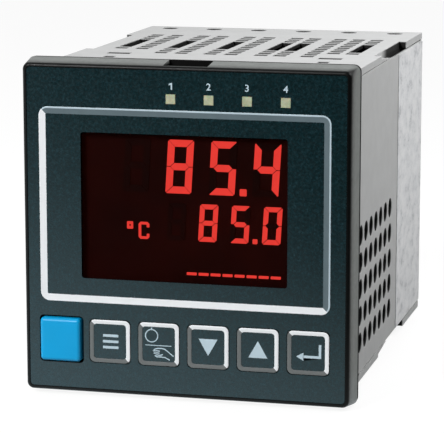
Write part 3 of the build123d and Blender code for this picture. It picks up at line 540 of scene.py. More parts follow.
def cut(mesh, tools):
    """The mesh with the tools taken away from it."""
    holder = bpy.data.objects.new("cut", mesh)
    bpy.context.scene.collection.objects.link(holder)
    blades = []
    for tool in tools:
        blade = bpy.data.objects.new("blade", tool)
        bpy.context.scene.collection.objects.link(blade)
        step = holder.modifiers.new("cut", "BOOLEAN")
        step.operation = "DIFFERENCE"
        step.solver = "EXACT"
        step.object = blade
        blades.append(blade)
    seen = holder.evaluated_get(bpy.context.evaluated_depsgraph_get())
    result = bpy.data.meshes.new_from_object(seen)
    for extra in [holder] + blades:
        bpy.data.objects.remove(extra)
    return result


def side_wall(node, side):
    """Side wall with a field of round vent holes, and pockets under the edge notches."""
    low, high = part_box(node)
    start, end = low.y / MM, high.y / MM
    bottom, top = low.z / MM, high.z / MM
    inner, outer = sorted((abs(low.x) / MM, abs(high.x) / MM))
    low_edge, high_edge = bottom + SEAM, top - SEAM
    loops = [[(start, low_edge), (end, low_edge), (end, high_edge), (start, high_edge)]]
    for column in range(WALL_HOLE_COLUMNS):
        y = WALL_HOLE_Y + (column - (WALL_HOLE_COLUMNS - 1) / 2) * WALL_HOLE_PITCH
        for row in range(WALL_HOLE_ROWS):
            z = bottom + WALL_HOLE_RISE + row * WALL_HOLE_PITCH
            loops.append(arc(y, z, WALL_HOLE_R, 0, 360, 28)[:-1])
    mesh = outline_mesh(node + "_panel", loops, inner, outer, WALL_BEVEL, SIDEWAYS)
    reach = (inner - 1.0, outer - NOTCH_SKIN)
    pockets = [
        box_mesh((reach[0], NOTCH_Y[0], top - NOTCH_POCKET), (reach[1], NOTCH_Y[1], top + 1.0)),
        box_mesh((reach[0], NOTCH_Y[0], bottom - 1.0), (reach[1], NOTCH_Y[1], bottom + NOTCH_POCKET)),
    ]
    mesh = cut(mesh, pockets)
    if side < 0:
        mesh.transform(Matrix.Scale(-1, 4, (1, 0, 0)))
        mesh.flip_normals()
    add_piece(node + "_panel", mesh, materials["housing_grey"], "housing", (node,))


side_wall("right_side_wall", 1)
side_wall("left_side_wall", -1)

gasket_low, gasket_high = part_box("panel_gasket")
GASKET_SIDE = 95.9
GASKET_OPENING = 91.0
gasket_loops = [rounded_rectangle(GASKET_SIDE, GASKET_SIDE, 2.0), rounded_rectangle(GASKET_OPENING, GASKET_OPENING, 0.1, 1)]
plate("panel_gasket_rubber", gasket_loops, gasket_low.y / MM, gasket_high.y / MM, materials["gasket_black"],
      "housing", ("panel_gasket",), 0.2)


# Digits

SLANT = math.tan(math.radians(3.5))
DIGITS = 4
# Shares of the width of a whole row: the step to the next digit, the digit and its bars
PITCH_SHARE = {"main_digits": 0.268, "lower_digits": 0.2695}
WIDTH_SHARE = {"main_digits": 0.160, "lower_digits": 0.154}
HEIGHT_SHARE = {"main_digits": 0.965, "lower_digits": 1.0}
BAR_SHARE = {"main_digits": 0.262, "lower_digits": 0.258}
DISPLAY_SHIFT = -0.55       # the lit shapes sit this far to the left of their solids' right edges
SEGMENTS = {
    "0": "abcdef", "1": "bc", "2": "abged", "3": "abgcd", "4": "fgbc",
    "5": "afgcd", "6": "afgedc", "7": "abc", "8": "abcdefg", "9": "abcdfg", " ": "",
}


def flipped(loop, across, up):
    return [(across * x, up * z) for x, z in loop]


def digit_outlines(width, height, bar, joint, corner):
    """Seven mitred bars by letter, around the middle of the digit and not yet leaning."""
    w, h, t = width / 2, height / 2, bar
    c = corner
    top = [(-w + joint + c, h), (w - joint - c, h), (w - joint - c / 2, h - c / 2)]
    top += [(w - t - joint, h - t), (-w + t + joint, h - t), (-w + joint + c / 2, h - c / 2)]
    right = [(w, h - joint - c), (w, joint), (w - t / 2, joint), (w - t, t / 2 + joint)]
    right += [(w - t, h - t - joint), (w - c / 2, h - joint - c / 2)]
    tip = w - t / 2 - joint
    middle = [(-tip, 0), (-w + t + joint, t / 2), (w - t - joint, t / 2)]
    middle += [(tip, 0), (w - t - joint, -t / 2), (-w + t + joint, -t / 2)]
    return {
        "a": top, "b": right, "c": flipped(right, 1, -1), "d": flipped(top, 1, -1),
        "e": flipped(right, -1, -1), "f": flipped(right, -1, 1), "g": middle,
    }


def leaning(loop, x, z):
    return [(px + pz * SLANT + x, pz + z) for px, pz in loop]


def digit_row(name, text, node, point_after):
    """Lit and unlit bars of one row, in the place and size of a CAD row of digits."""
    low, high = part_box(node)
    whole, height = (high.x - low.x) / MM, HEIGHT_SHARE[node] * (high.z - low.z) / MM
    pitch, width = PITCH_SHARE[node] * whole, WIDTH_SHARE[node] * whole
    bar = BAR_SHARE[node] * width
    last = high.x / MM - width / 2 - SLANT * height / 2 + DISPLAY_SHIFT
    z = (low.z + high.z) / 2 / MM
    bars = digit_outlines(width, height, bar, 0.12, 0.35)
    lit, dark = [], []
    for i, letter in enumerate(text):
        x = last - (DIGITS - 1 - i) * pitch
        for key, loop in bars.items():
            chosen = lit if key in SEGMENTS[letter] else dark
            chosen.append(leaning(loop, x, z))
    dot = rounded_rectangle(bar, bar, 0.2, 2)
    x = last - (DIGITS - 1 - point_after) * pitch + pitch / 2
    lit.append(moved(dot, x - height / 2 * SLANT, z - height / 2 + bar / 2))
    front = SEGMENT_BACK - SEGMENT_THICK
    glow = materials["segment_red"]
    plate(name + "_lit", lit, front, SEGMENT_BACK, glow, "insert", (node,))
    plate(name + "_unlit", dark, front + 0.05, SEGMENT_BACK, unlit, "insert", (node,))


def unit_sign():
    """A small hollow square and a letter C."""
    low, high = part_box("unit_sign")
    left, right = low.x / MM, high.x / MM + DISPLAY_SHIFT / 2
    top, bottom = high.z / MM - 0.35, low.z / MM
    degree = rounded_rectangle(1.75, 2.1, 0.15, 1)
    hollow = rounded_rectangle(0.5, 0.6, 0.1, 1)
    x, z = left + 0.95, top - 1.05
    line, width = 0.72, 3.1
    start = right - width
    letter = stroke([
        (right - line / 2, top - 1.5), (right - line / 2, top - 0.7), (right - 0.7, top - line / 2),
        (start + 0.7, top - line / 2), (start + line / 2, top - 0.7), (start + line / 2, bottom + 0.7),
        (start + 0.7, bottom + line / 2), (right - 0.7, bottom + line / 2),
        (right - line / 2, bottom + 0.7), (right - line / 2, bottom + 1.5),
    ], line)
    loops = [moved(degree, x, z), moved(hollow, x, z), letter]
    plate("unit_letter", loops, SEGMENT_BACK - SEGMENT_THICK, SEGMENT_BACK, materials["segment_red"],
          "insert", ("unit_sign",))


BAR_COUNT = 8
BAR_SPACE = 0.62
BAR_DROP = 0.2


def bar_row():
    """Row of short dashes under the digits."""
    low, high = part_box("bargraph")
    left, right = low.x / MM + DISPLAY_SHIFT - 0.15, high.x / MM + DISPLAY_SHIFT - 0.15
    z = (low.z + high.z) / 2 / MM - BAR_DROP
    thick = (high.z - low.z) / MM
    width = (right - left - (BAR_COUNT - 1) * BAR_SPACE) / BAR_COUNT
    dash = rounded_rectangle(width, thick, 0.08, 1)
    loops = [moved(dash, left + width / 2 + i * (width + BAR_SPACE), z) for i in range(BAR_COUNT)]
    plate("bargraph_dashes", loops, SEGMENT_BACK - SEGMENT_THICK, SEGMENT_BACK, materials["segment_red"],
          "insert", ("bargraph",))


digit_row("main_reading", " 854", "main_digits", 2)
digit_row("lower_reading", " 850", "lower_digits", 2)
unit_sign()
bar_row()


# Ring around the display

def bevel_band(name, width, height, radius, depth, lines, steps=6, closing=0.5):
    """Closed band between outlines that step inwards. Lines are (inset, proud) pairs in millimetres."""
    bands = []
    for inset, proud in lines:
        loop = rounded_rectangle(
            width - 2 * inset, height - 2 * inset, max(0.2, radius - inset * closing), steps
        )
        bands.append([(x * MM, (depth - proud) * MM, z * MM) for x, z in loop])
    count = len(bands[0])
    vertices = [v for band in bands for v in band]
    faces = []
    for b in range(len(bands)):
        other = (b + 1) % len(bands)
        for i in range(count):
            j = (i + 1) % count
            faces.append((b * count + i, b * count + j, other * count + j, other * count + i))
    mesh = bpy.data.meshes.new(name)
    mesh.from_pydata(vertices, [], faces)
    mesh.update()
    return mesh


def two_tone(mesh, centre, width, height, tones, light_sides, edge_rows, count):
    """Give the bars on the named sides the first tone, a painted highlight, and the other bars the second tone,
    painted shade, split at the mitres. The outer rows of the shaded bars get the third tone, a painted highlight along
    their edge.
    """
    mesh.materials.clear()
    for tone in tones:
        mesh.materials.append(tone)
    for polygon in mesh.polygons:
        x = polygon.center.x / MM - centre[0]
        z = polygon.center.z / MM - centre[1]
        over_x = abs(x) - width / 2
        over_z = abs(z) - height / 2
        if over_x > over_z:
            side = "right" if x > 0 else "left"
        else:
            side = "top" if z > 0 else "bottom"
        row = polygon.index // count
        if side in light_sides:
            polygon.material_index = 0
        else:
            polygon.material_index = 2 if row in edge_rows else 1


def display_ring():
    low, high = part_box("display_ring")
    width = (high.x - low.x) / MM
    height = (high.z - low.z) / MM
    middle = centre_of("display_ring")
    lines = [(0.0, 0.0), (0.0, 0.10), (0.1, 0.15), (0.36, 0.15), (0.46, 0.12), (1.85, 0.05), (2.0, 0.04), (2.0, 0.0)]
    mesh = bevel_band("display_ring_line", width, height, 2.6, FOIL_FRONT, lines, 10, 1.15)
    mesh.transform(Matrix.Translation((middle.x * MM, 0, middle.z * MM)))
    count = len(mesh.vertices) // len(lines)
    # Painted highlight on the left and bottom bars and painted shade on the top and right bars, with a painted
    # highlight along the outer rows of the shaded bars.
    tones = (silver_light, silver_shade, silver_edge_highlight)
    two_tone(mesh, (middle.x, middle.z), width, height, tones, ("left", "bottom"), (0, 1, 2, 3), count)
    add_piece("display_ring_line", mesh, None, "insert", ("display_ring",))


display_ring()


# Keys

KEY_NAMES = ("menu", "mode", "down", "up", "enter")
KEY_HEIGHT = 12.3


def key_frame(key):
    """Embossed line around a key, with a painted highlight on its top and right bars and painted shade on its left and
    bottom bars.
    """
    middle = centre_of(key)
    low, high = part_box(key)
    width = (high.x - low.x) / MM
    lines = [(-0.02, 0.0), (-0.02, 0.13), (0.16, 0.2), (0.5, 0.21), (0.95, 0.17), (1.12, 0.13), (1.12, 0.0)]
    mesh = bevel_band(key + "_frame", width, KEY_HEIGHT, 1.5, FOIL_FRONT, lines)
    mesh.transform(Matrix.Translation((middle.x * MM, 0, middle.z * MM)))
    count = len(mesh.vertices) // len(lines)
    tones = (silver_light, frame_shade)
    two_tone(mesh, (middle.x, middle.z), width, KEY_HEIGHT, tones, ("right", "top"), (), count)
    add_piece(key + "_frame", mesh, None, key)


def key_print(key, loops):
    """Printed sign on a key, drawn around the key's middle."""
    middle = centre_of(key)
    placed = [moved(loop, middle.x, middle.z) for loop in loops]
    front = FOIL_FRONT - PRINT_PROUD
    plate(key + "_sign", placed, front, FOIL_FRONT, print_white, key)


def menu_sign():
    bar = rounded_rectangle(4.6, 0.75, 0.12, 2)
    return [moved(bar, 0.2, z) for z in (1.7, 0.0, -1.7)]


def knob_and_hand():
    """A turning knob above a line, and an open hand below it."""
    ring = [arc(-2.1, 2.4, 1.95, 0, 360, 32)[:-1], arc(-2.1, 2.4, 1.65, 0, 360, 32)[:-1]]
    tick = stroke([(-2.1, 4.0), (-2.1, 4.75)], 0.35)
    line = stroke([(-4.0, -0.35), (3.7, -0.35)], 0.22)
    upper = stroke([(-1.7, -2.0), (-1.2, -1.45), (-0.3, -1.2), (0.8, -1.15), (1.7, -1.3), (2.7, -2.0), (4.3, -3.3)], 0.3)
    finger = stroke([(-1.7, -2.0), (-0.6, -1.9), (0.3, -1.95)], 0.3)
    second = stroke([(-1.5, -2.6), (-0.5, -2.5), (0.2, -2.55)], 0.3)
    thumb = stroke([(-1.2, -3.3), (-0.5, -3.1), (0.4, -3.15), (1.2, -2.9)], 0.3)
    lower = stroke([(-1.2, -3.3), (-0.5, -3.65), (0.6, -3.6), (1.9, -3.75), (3.2, -4.4)], 0.3)
    return ring + [tick, line, upper, finger, second, thumb, lower]


def down_sign():
    return [[(-2.75, 2.35), (2.75, 2.35), (0.0, -2.5)]]


def up_sign():
    return [[(-2.75, -2.25), (2.75, -2.25), (0.0, 2.6)]]


def enter_sign():
    head = [(-3.4, -1.1), (-1.35, 0.05), (-1.35, -2.25)]
    line = stroke([(-1.5, -1.1), (3.35, -1.1), (3.35, 2.5)], 0.72)
    return [head, line]


SIGNS = (menu_sign, knob_and_hand, down_sign, up_sign, enter_sign)
for key_name, sign in zip(KEY_NAMES, SIGNS):
    key_frame(key_name + "_key")
    key_print(key_name + "_key", sign())


# Numerals over the indicators

NUMERAL_RISE = 3.6
NUMERAL_SIZE = 2.75


def numeral_one(x, z):
    """Upright bar with a flag, as tall as the other numerals."""
    top, low = NUMERAL_SIZE * 0.36, -NUMERAL_SIZE * 0.36
    outline = [(0.1, low), (0.5, low), (0.5, top), (0.2, top), (-0.45, top - 0.35), (-0.45, top - 0.75), (0.1, top - 0.5)]
    front = FOIL_FRONT - PRINT_PROUD
    plate("numeral_1", [moved(outline, x, z)], front, FOIL_FRONT, print_white, "insert")


def numeral(text, x, z):
    font = bpy.data.curves.new("numeral_" + text, "FONT")
    font.body = text
    font.size = NUMERAL_SIZE * MM
    font.align_x = "CENTER"
    font.align_y = "CENTER"
    font.offset = 0.04 * MM
    font.extrude = PRINT_PROUD / 2 * MM
    font.resolution_u = 4
    holder = bpy.data.objects.new("numeral_holder", font)
    bpy.context.scene.collection.objects.link(holder)
    mesh = bpy.data.meshes.new_from_object(holder)
    bpy.data.objects.remove(holder)
    depth = (FOIL_FRONT - PRINT_PROUD / 2) * MM
    turn = Matrix.Rotation(math.radians(90), 4, "X")
    mesh.transform(Matrix.Translation((x * MM, depth, z * MM)) @ turn)
    add_piece("numeral_" + text, mesh, print_white, "insert")


LIGHT_COUNT = 4
light_low, light_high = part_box("light_pipes")
light_side = (light_high.z - light_low.z) / MM
light_first = light_low.x / MM + light_side / 2
light_pitch = (light_high.x / MM - light_side / 2 - light_first) / (LIGHT_COUNT - 1)
light_z = (light_low.z + light_high.z) / 2 / MM
numeral_one(light_first, light_z + NUMERAL_RISE)
for i in range(1, LIGHT_COUNT):
    numeral(str(i + 1), light_first + i * light_pitch, light_z + NUMERAL_RISE)


# Shapes for the inner parts

def finished(name, body_mesh, material, body, replaced=()):
    """Turn a bmesh into a piece."""
    mesh = bpy.data.meshes.new(name)
    bmesh.ops.recalc_face_normals(body_mesh, faces=body_mesh.faces)
    body_mesh.to_mesh(mesh)
    body_mesh.free()
    return add_piece(name, mesh, material, body, replaced)


def boxes(name, corners, material, bevel=0.1, body="insert", replaced=()):
    """Bevelled boxes between pairs of corners in millimetres, as one piece."""
    shape = bmesh.new()
    for low, high in corners:
        points = bmesh.ops.create_cube(shape, size=1.0)["verts"]
        size = [(h - l) * MM for l, h in zip(low, high)]
        middle = [(h + l) / 2 * MM for l, h in zip(low, high)]
        bmesh.ops.scale(shape, vec=size, verts=points)
        bmesh.ops.translate(shape, vec=middle, verts=points)
    if bevel:
        bmesh.ops.bevel(shape, geom=shape.edges[:], offset=bevel * MM, segments=2, profile=0.6, affect="EDGES")
    return finished(name, shape, material, body, replaced)


ALONG_X = Matrix.Rotation(math.radians(90), 4, "Y")
ALONG_Y = Matrix.Rotation(math.radians(-90), 4, "X")
ALONG_Z = Matrix.Identity(4)


def lathe(shape, profile, place, turn, sides=24):
    """Turned form added to a bmesh. The profile is (radius, height) in millimetres, closed at both ends."""
    move = Matrix.Translation([c * MM for c in place]) @ turn
    rings = []
    closed = profile[0] == profile[-1]
    for radius, height in profile[:-1] if closed else profile:
        if radius == 0:
            rings.append([shape.verts.new(move @ Vector((0, 0, height * MM)))])
            continue
        ring = []
        for i in range(sides):
            a = 2 * math.pi * i / sides
            point = Vector((radius * MM * math.cos(a), radius * MM * math.sin(a), height * MM))
            ring.append(shape.verts.new(move @ point))
        rings.append(ring)
    if closed:
        rings.append(rings[0])
    made = []
    for low, high in zip(rings, rings[1:]):
        if len(low) == 1 and len(high) == 1:
            continue
        for i in range(sides):
            j = (i + 1) % sides
            if len(low) == 1:
                made.append(shape.faces.new((low[0], high[i], high[j])))
            elif len(high) == 1:
                made.append(shape.faces.new((low[i], high[0], low[j])))
            else:
                made.append(shape.faces.new((low[i], high[i], high[j], low[j])))
    return made


def turned(name, profile, places, turn, material, sides=24, body="insert", replaced=(), smooth=True):
    shape = bmesh.new()
    for place in places:
        lathe(shape, profile, place, turn, sides)
    piece = finished(name, shape, material, body, replaced)
    if smooth:
        for polygon in piece.data.polygons:
            polygon.use_smooth = True
        piece.modifiers.new("split", "EDGE_SPLIT").split_angle = math.radians(35)
    return piece


def spread_out(count, pitch):
    return [(i - (count - 1) / 2) * pitch for i in range(count)]


# Upright boards

relay_low, relay_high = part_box("relay_board")
logic_low, logic_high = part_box("logic_board")
power_low, power_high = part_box("power_board")
RELAY_LEFT, RELAY_RIGHT = relay_low.x / MM, relay_high.x / MM
LOGIC_LEFT, LOGIC_RIGHT = logic_low.x / MM, logic_high.x / MM
POWER_LEFT, POWER_RIGHT = power_low.x / MM, power_high.x / MM
BOARD_REAR = power_high.y / MM
CONTACT_PITCH = 2.54
CONTACT_COUNT = 27
CONTACT_LENGTH = 6.2
CONTACT_THICK = 0.04


def board_contacts():
    """Gold contacts on both faces of the rear tongues."""
    corners = []
    for left, right in ((RELAY_LEFT, RELAY_RIGHT), (LOGIC_LEFT, LOGIC_RIGHT), (POWER_LEFT, POWER_RIGHT)):
        for z in spread_out(CONTACT_COUNT, CONTACT_PITCH):
            low_y, high_y = BOARD_REAR - 0.4 - CONTACT_LENGTH, BOARD_REAR - 0.4
            corners.append(((left - CONTACT_THICK, low_y, z - 0.8), (left, high_y, z + 0.8)))
            corners.append(((right, low_y, z - 0.8), (right + CONTACT_THICK, high_y, z + 0.8)))
    boxes("board_contacts", corners, contact_gold, 0)


def solder_points():
    """Rows of solder joints on the back of each board, opposite its parts."""
    draw = random.Random(11)
    dome = [(0, 0), (0.75, 0), (0.62, 0.18), (0.3, 0.42), (0, 0.5)]
    flat = [(r, -h) for r, h in dome]
    right_side, left_side = bmesh.new(), bmesh.new()
    for y in spread_out(4, 5.0):
        for z in spread_out(4, 14.0):
            for step in (-3.2, 3.2):
                lathe(right_side, dome, (RELAY_RIGHT, 62 + y, z + step), ALONG_X, 10)
    for z in (-18.0, 18.0):
        for y in spread_out(20, 2.54):
            if draw.random() < 0.8:
                lathe(right_side, dome, (RELAY_RIGHT, 40 + y, z + draw.choice((-2.5, 0, 2.5))), ALONG_X, 10)
    for y in (60.5, 65.0, 75.0, 79.5):
        for z in (5.0, 12.0, 24.0, 31.0):
            lathe(left_side, flat, (POWER_LEFT, y, z), ALONG_X, 10)
    for y in (21.5, 34.0, 46.5):
        for z in (-26.5, -21.5):
            lathe(left_side, flat, (POWER_LEFT, y, z), ALONG_X, 10)
    for i in range(40):
        y, z = 12 + 2.54 * draw.randrange(30), -36 + 2.54 * draw.randrange(13)
        lathe(left_side, flat, (POWER_LEFT, y, z), ALONG_X, 10)
    finished("relay_board_joints", right_side, solder, "insert")
    finished("power_board_joints", left_side, solder, "insert")


def chip_leads():
    """Bent leads around the flat circuits on the logic board."""
    corners = []
    low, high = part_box("logic_chips")
    side = (high.y - low.y) / MM
    middle_y = (high.y + low.y) / 2 / MM
    x = LOGIC_RIGHT
    for z0 in spread_out(3, 22.0):
        for step in spread_out(12, 1.0):
            for sign in (-1, 1):
                for along in ("y", "z"):
                    near, mid, far = side / 2, side / 2 + 0.5, side / 2 + 1.3
                    for reach, rise in (((near, mid), (0.1, 1.0)), ((mid - 0.05, far), (0.02, 0.2))):
                        a, b = sorted((sign * reach[0], sign * reach[1]))
                        if along == "y":
                            low_c = (x + rise[0], middle_y + a, z0 + step - 0.2)
                            high_c = (x + rise[1], middle_y + b, z0 + step + 0.2)
                        else:
                            low_c = (x + rise[0], middle_y + step - 0.2, z0 + a)
                            high_c = (x + rise[1], middle_y + step + 0.2, z0 + b)
                        corners.append((low_c, high_c))
    boxes("logic_chip_leads", corners, solder, 0)


def chip_marks():
    """Round moulding mark in one corner of each flat circuit."""
    low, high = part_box("logic_chips")
    x = high.x / MM
    mark = [(0, 0), (0.9, 0), (0.8, 0.05), (0, 0.05)]
    places = [(x - 0.01, low.y / MM + 2.2, z0 + 4.8) for z0 in spread_out(3, 22.0)]
    turned("logic_chip_marks", mark, places, ALONG_X, materials["connector_black"], 20)


def small_parts():
    """Chip resistors and capacitors with their end caps on the logic board."""
    draw = random.Random(5)
    dark, tan, caps = [], [], []
    x = LOGIC_RIGHT
    taken = []
    while len(taken) < 64:
        y, z = 10 + 2.2 * draw.randrange(38), -38 + 2.2 * draw.randrange(35)
        near_chip = 32.5 < y < 51.5 and any(abs(z - c) < 9.5 for c in (-22, 0, 22))
        in_can = 66 < y < 82 and abs(z) < 8
        if near_chip or in_can or any(abs(y - a) < 3 and abs(z - b) < 2.1 for a, b in taken):
            continue
        taken.append((y, z))
        group = dark if draw.random() < 0.6 else tan
        high = 0.55 if group is dark else 0.85
        group.append(((x + 0.02, y - 0.7, z - 0.6), (x + high, y + 0.7, z + 0.6)))
        for end in (-1, 1):
            a, b = sorted((end * 0.68, end * 1.05))
            caps.append(((x + 0.01, y + a, z - 0.62), (x + high + 0.02, y + b, z + 0.62)))
    boxes("chip_resistors", dark, materials["part_black"], 0.05)
    boxes("chip_capacitors", tan, ceramic_tan, 0.05)
    boxes("chip_end_caps", caps, solder, 0.04)


def crystal_can():
    """Low oval metal can of the clock crystal, with its base flange."""
    def oval(length, width):
        straight = (length - width) / 2
        return arc(straight, 0, width / 2, -90, 90, 12) + arc(-straight, 0, width / 2, 90, 270, 12)
    x = LOGIC_RIGHT
    base = outline_mesh("crystal_base", [moved(oval(11.4, 4.9), 74, 0)], x, x + 0.5, 0.1, SIDEWAYS)
    can = outline_mesh("crystal_can", [moved(oval(10.6, 4.1), 74, 0)], x + 0.4, x + 3.6, 0.5, SIDEWAYS)
    add_piece("crystal_base", base, solder, "insert")
    add_piece("crystal_can", can, materials["screw_steel"], "insert")


def relay_detail():
    """Ribs and vents of the relays, and the diodes and terminals beside them."""
    low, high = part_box("relays")
    top = low.x / MM
    ribs, studs, bands, wires = [], [], [], []
    for z in spread_out(4, 14.0):
        ribs.append(((top - 0.18, 53.6, z - 3.6), (top + 0.05, 54.2, z + 3.6)))
        ribs.append(((top - 0.18, 69.8, z - 3.6), (top + 0.05, 70.4, z + 3.6)))
        studs.append((top - 0.1, 67.0, z))
        for y in (46.5, 77.5):
            bands.append((y, z))
    boxes("relay_ribs", ribs, materials["part_black"], 0.05)
    vent = [(0, 0), (0.9, 0), (0.9, 0.14), (0.55, 0.14), (0.5, 0.05), (0, 0.05)]
    turned("relay_vents", vent, studs, ALONG_X, materials["connector_black"], 16)
    x = RELAY_LEFT - 1.6
    rod = [(0, -2.6), (0.9, -2.6), (1.25, -2.2), (1.25, 2.2), (0.9, 2.6), (0, 2.6)]
    turned("diode_bodies", rod, [(x, y, z) for y, z in bands], ALONG_Z, materials["part_black"], 16)
    ring = [(1.27, 1.2), (1.3, 1.25), (1.3, 1.85), (1.27, 1.9), (1.2, 1.9), (1.2, 1.2), (1.27, 1.2)]
    turned("diode_bands", ring, [(x, y, z) for y, z in bands], ALONG_Z, stripe_pale, 16)
    for y, z in bands:
        wires.append(((x - 0.25, y - 0.25, z - 4.6), (x + 0.25, y + 0.25, z - 2.5)))
        wires.append(((x - 0.25, y - 0.25, z + 2.5), (x + 0.25, y + 0.25, z + 4.6)))
        wires.append(((x - 0.25, y - 0.25, z - 4.6), (RELAY_LEFT, y + 0.25, z - 4.1)))
        wires.append(((x - 0.25, y - 0.25, z + 4.1), (RELAY_LEFT, y + 0.25, z + 4.6)))
    boxes("diode_wires", wires, solder, 0.06)


def capacitor_cans():
    """Sleeved cans with a groove, a pale stripe and a crossed vent in the top."""
    low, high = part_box("capacitors")
    radius = (high.z - low.z) / 2 / MM
    z = (high.z + low.z) / 2 / MM
    height = (high.x - low.x) / MM
    sleeve = [(0, 0), (radius - 0.3, 0), (radius, 0.3), (radius, 1.2), (radius - 0.35, 1.6), (radius, 2.0),
              (radius, height - 0.7), (radius - 0.25, height - 0.2), (radius - 0.8, height), (radius - 1.2, height - 0.05), (0, height - 0.3)]
    shape = bmesh.new()
    stripes = []
    for y in spread_out(3, 12.5):
        faces = lathe(shape, sleeve, (POWER_RIGHT, 34 + y, z), ALONG_X, 32)
        stripes += [face for i, face in enumerate(faces) if 8 <= i % 32 <= 11]
    for face in stripes:
        face.material_index = 1
    piece = finished("capacitor_sleeves", shape, materials["can_dark"], "insert", ("capacitors",))
    piece.data.materials.append(stripe_pale)
    for polygon in piece.data.polygons:
        polygon.use_smooth = True
    piece.modifiers.new("split", "EDGE_SPLIT").split_angle = math.radians(35)
    disc = [(0, -0.34), (radius - 1.2, -0.34), (radius - 1.1, -0.06), (radius - 1.3, -0.02), (0, -0.02)]
    tops = [(POWER_RIGHT + height, 34 + y, z) for y in spread_out(3, 12.5)]
    turned("capacitor_tops", disc, tops, ALONG_X, materials["screw_steel"], 32)
    scores = []
    for x, y, _ in tops:
        scores.append(((x - 0.03, y - 2.6, z - 0.12), (x + 0.0, y + 2.6, z + 0.12)))
        scores.append(((x - 0.03, y - 0.12, z - 2.6), (x + 0.0, y + 0.12, z + 2.6)))
    boxes("capacitor_scores", scores, materials["part_black"], 0)


def power_parts():
    """Film capacitor, fuse, rectifier and resistors on the power board."""
    x = POWER_RIGHT
    boxes("film_capacitor", [((x + 0.3, 12.0, 14.0), (x + 11.0, 19.5, 32.0))], film_yellow, 0.5)
    boxes("rectifier_body", [((x + 0.8, 34.0, 22.0), (x + 10.0, 38.0, 36.0))], materials["part_black"], 0.3)
    holder = [((x, 26.0, 6.0), (x + 3.4, 32.0, 7.2)), ((x, 26.0, 24.8), (x + 3.4, 32.0, 26.0)), ((x, 27.0, 7.0), (x + 1.2, 31.0, 25.0))]
    boxes("fuse_holder", holder, materials["connector_black"], 0.2)
    tube = [(0, -8.6), (2.0, -8.6), (2.2, -8.2), (2.2, 8.2), (2.0, 8.6), (0, 8.6)]
    turned("fuse_body", tube, [(x + 4.2, 29.0, 16.0)], ALONG_Z, stripe_pale, 24)
    cap = [(2.25, -3.2), (2.42, -3.0), (2.42, 2.8), (2.3, 3.1), (0, 3.1), (0, 2.9), (2.2, 2.8), (2.2, -3.2), (2.25, -3.2)]
    turned("fuse_caps", cap, [(x + 4.2, 29.0, 22.0)], ALONG_Z, materials["screw_steel"], 24)
    lower = [(r, -h) for r, h in cap]
    turned("fuse_lower_cap", lower, [(x + 4.2, 29.0, 10.0)], ALONG_Z, materials["screw_steel"], 24)
    rods = [(x + 2.0, y, z) for z in (-8.0, -2.0) for y in (14.0, 24.0, 34.0, 44.0)]
    rods += [(x + 2.0, y, -33.0) for y in (60.0, 70.0, 80.0)]
    body = [(0, -3.1), (0.9, -3.1), (1.35, -2.7), (1.35, -1.9), (1.1, -1.5), (1.1, 1.5), (1.35, 1.9), (1.35, 2.7), (0.9, 3.1), (0, 3.1)]
    turned("resistor_bodies", body, rods, ALONG_Y, resistor_blue, 16)
    shape = bmesh.new()
    for px, py, pz in rods:
        for height in (-2.3, -0.7, 0.1, 0.9):
            r = 1.37 if height < -2 else 1.12
            ring = [(r - 0.1, height), (r + 0.01, height), (r + 0.01, height + 0.4), (r - 0.1, height + 0.4), (r - 0.1, height)]
            lathe(shape, ring, (px, py, pz), ALONG_Y, 16)
    finished("resistor_bands", shape, band_brown, "insert")
    wires = []
    for px, py, pz in rods:
        for sign in (-1, 1):
            a, b = sorted((sign * 3.0, sign * 4.6))
            wires.append(((px - 0.28, py + a, pz - 0.28), (px + 0.28, py + b, pz + 0.28)))
            a, b = sorted((sign * 4.1, sign * 4.66))
            wires.append(((x, py + a, pz - 0.28), (px + 0.28, py + b, pz + 0.28)))
    boxes("resistor_wires", wires, solder, 0.08)
    boxes("heat_sink", [((x, 66.0 + 2.6 * i, -22.0), (x + 15.0, 67.0 + 2.6 * i, -4.0)) for i in range(8)]
          + [((x + 0.1, 66.0, -22.0), (x + 2.0, 85.2, -4.0))], materials["can_dark"], 0.15)


def board_prints():
    """Printed outlines around the parts, with no letters."""
    def frame_loops(y, z, width, height, line=0.25):
        outer = rounded_rectangle(width, height, 0.3, 2)
        inner = rounded_rectangle(width - 2 * line, height - 2 * line, 0.2, 2)
        return [moved(outer, y, z), moved(inner, y, z)]
    power = frame_loops(70, 18, 32, 37) + frame_loops(15.75, 23, 9, 19.5) + frame_loops(36, 29, 6, 16)
    power += frame_loops(75.6, -13, 22, 20)
    for y in spread_out(3, 12.5):
        power += [arc(34 + y, -24, 5.6, 0, 360, 32)[:-1], arc(34 + y, -24, 5.35, 0, 360, 32)[:-1]]
    logic = frame_loops(74, 0, 13, 6.4)
    for z in spread_out(3, 22.0):
        logic += frame_loops(42, z, 17.6, 17.6)
    mesh = outline_mesh("power_board_print", power, POWER_RIGHT, POWER_RIGHT + 0.03, 0, SIDEWAYS)
    add_piece("power_board_print", mesh, print_white, "insert")
    mesh = outline_mesh("logic_board_print", logic, LOGIC_RIGHT, LOGIC_RIGHT + 0.015, 0, SIDEWAYS)
    add_piece("logic_board_print", mesh, print_white, "insert")
    relay = []
    for z in spread_out(4, 14.0):
        relay += frame_loops(62, z, 21.6, 11.4)
    mesh = outline_mesh("relay_board_print", relay, RELAY_LEFT - 0.03, RELAY_LEFT, 0, SIDEWAYS)
    add_piece("relay_board_print", mesh, print_white, "insert")


board_contacts()
solder_points()
chip_leads()
chip_marks()
small_parts()
crystal_can()
relay_detail()
capacitor_cans()
power_parts()
board_prints()

for node_name, edge in (("relays", 0.35), ("transformer_core", 0.4), ("transformer_coil", 1.2), ("logic_chips", 0.15)):
    rounding = nodes[node_name].modifiers.new("rounding", "BEVEL")
    rounding.width = edge * MM
    rounding.segments = 3
    rounding.limit_method = "ANGLE"


# Rear terminals

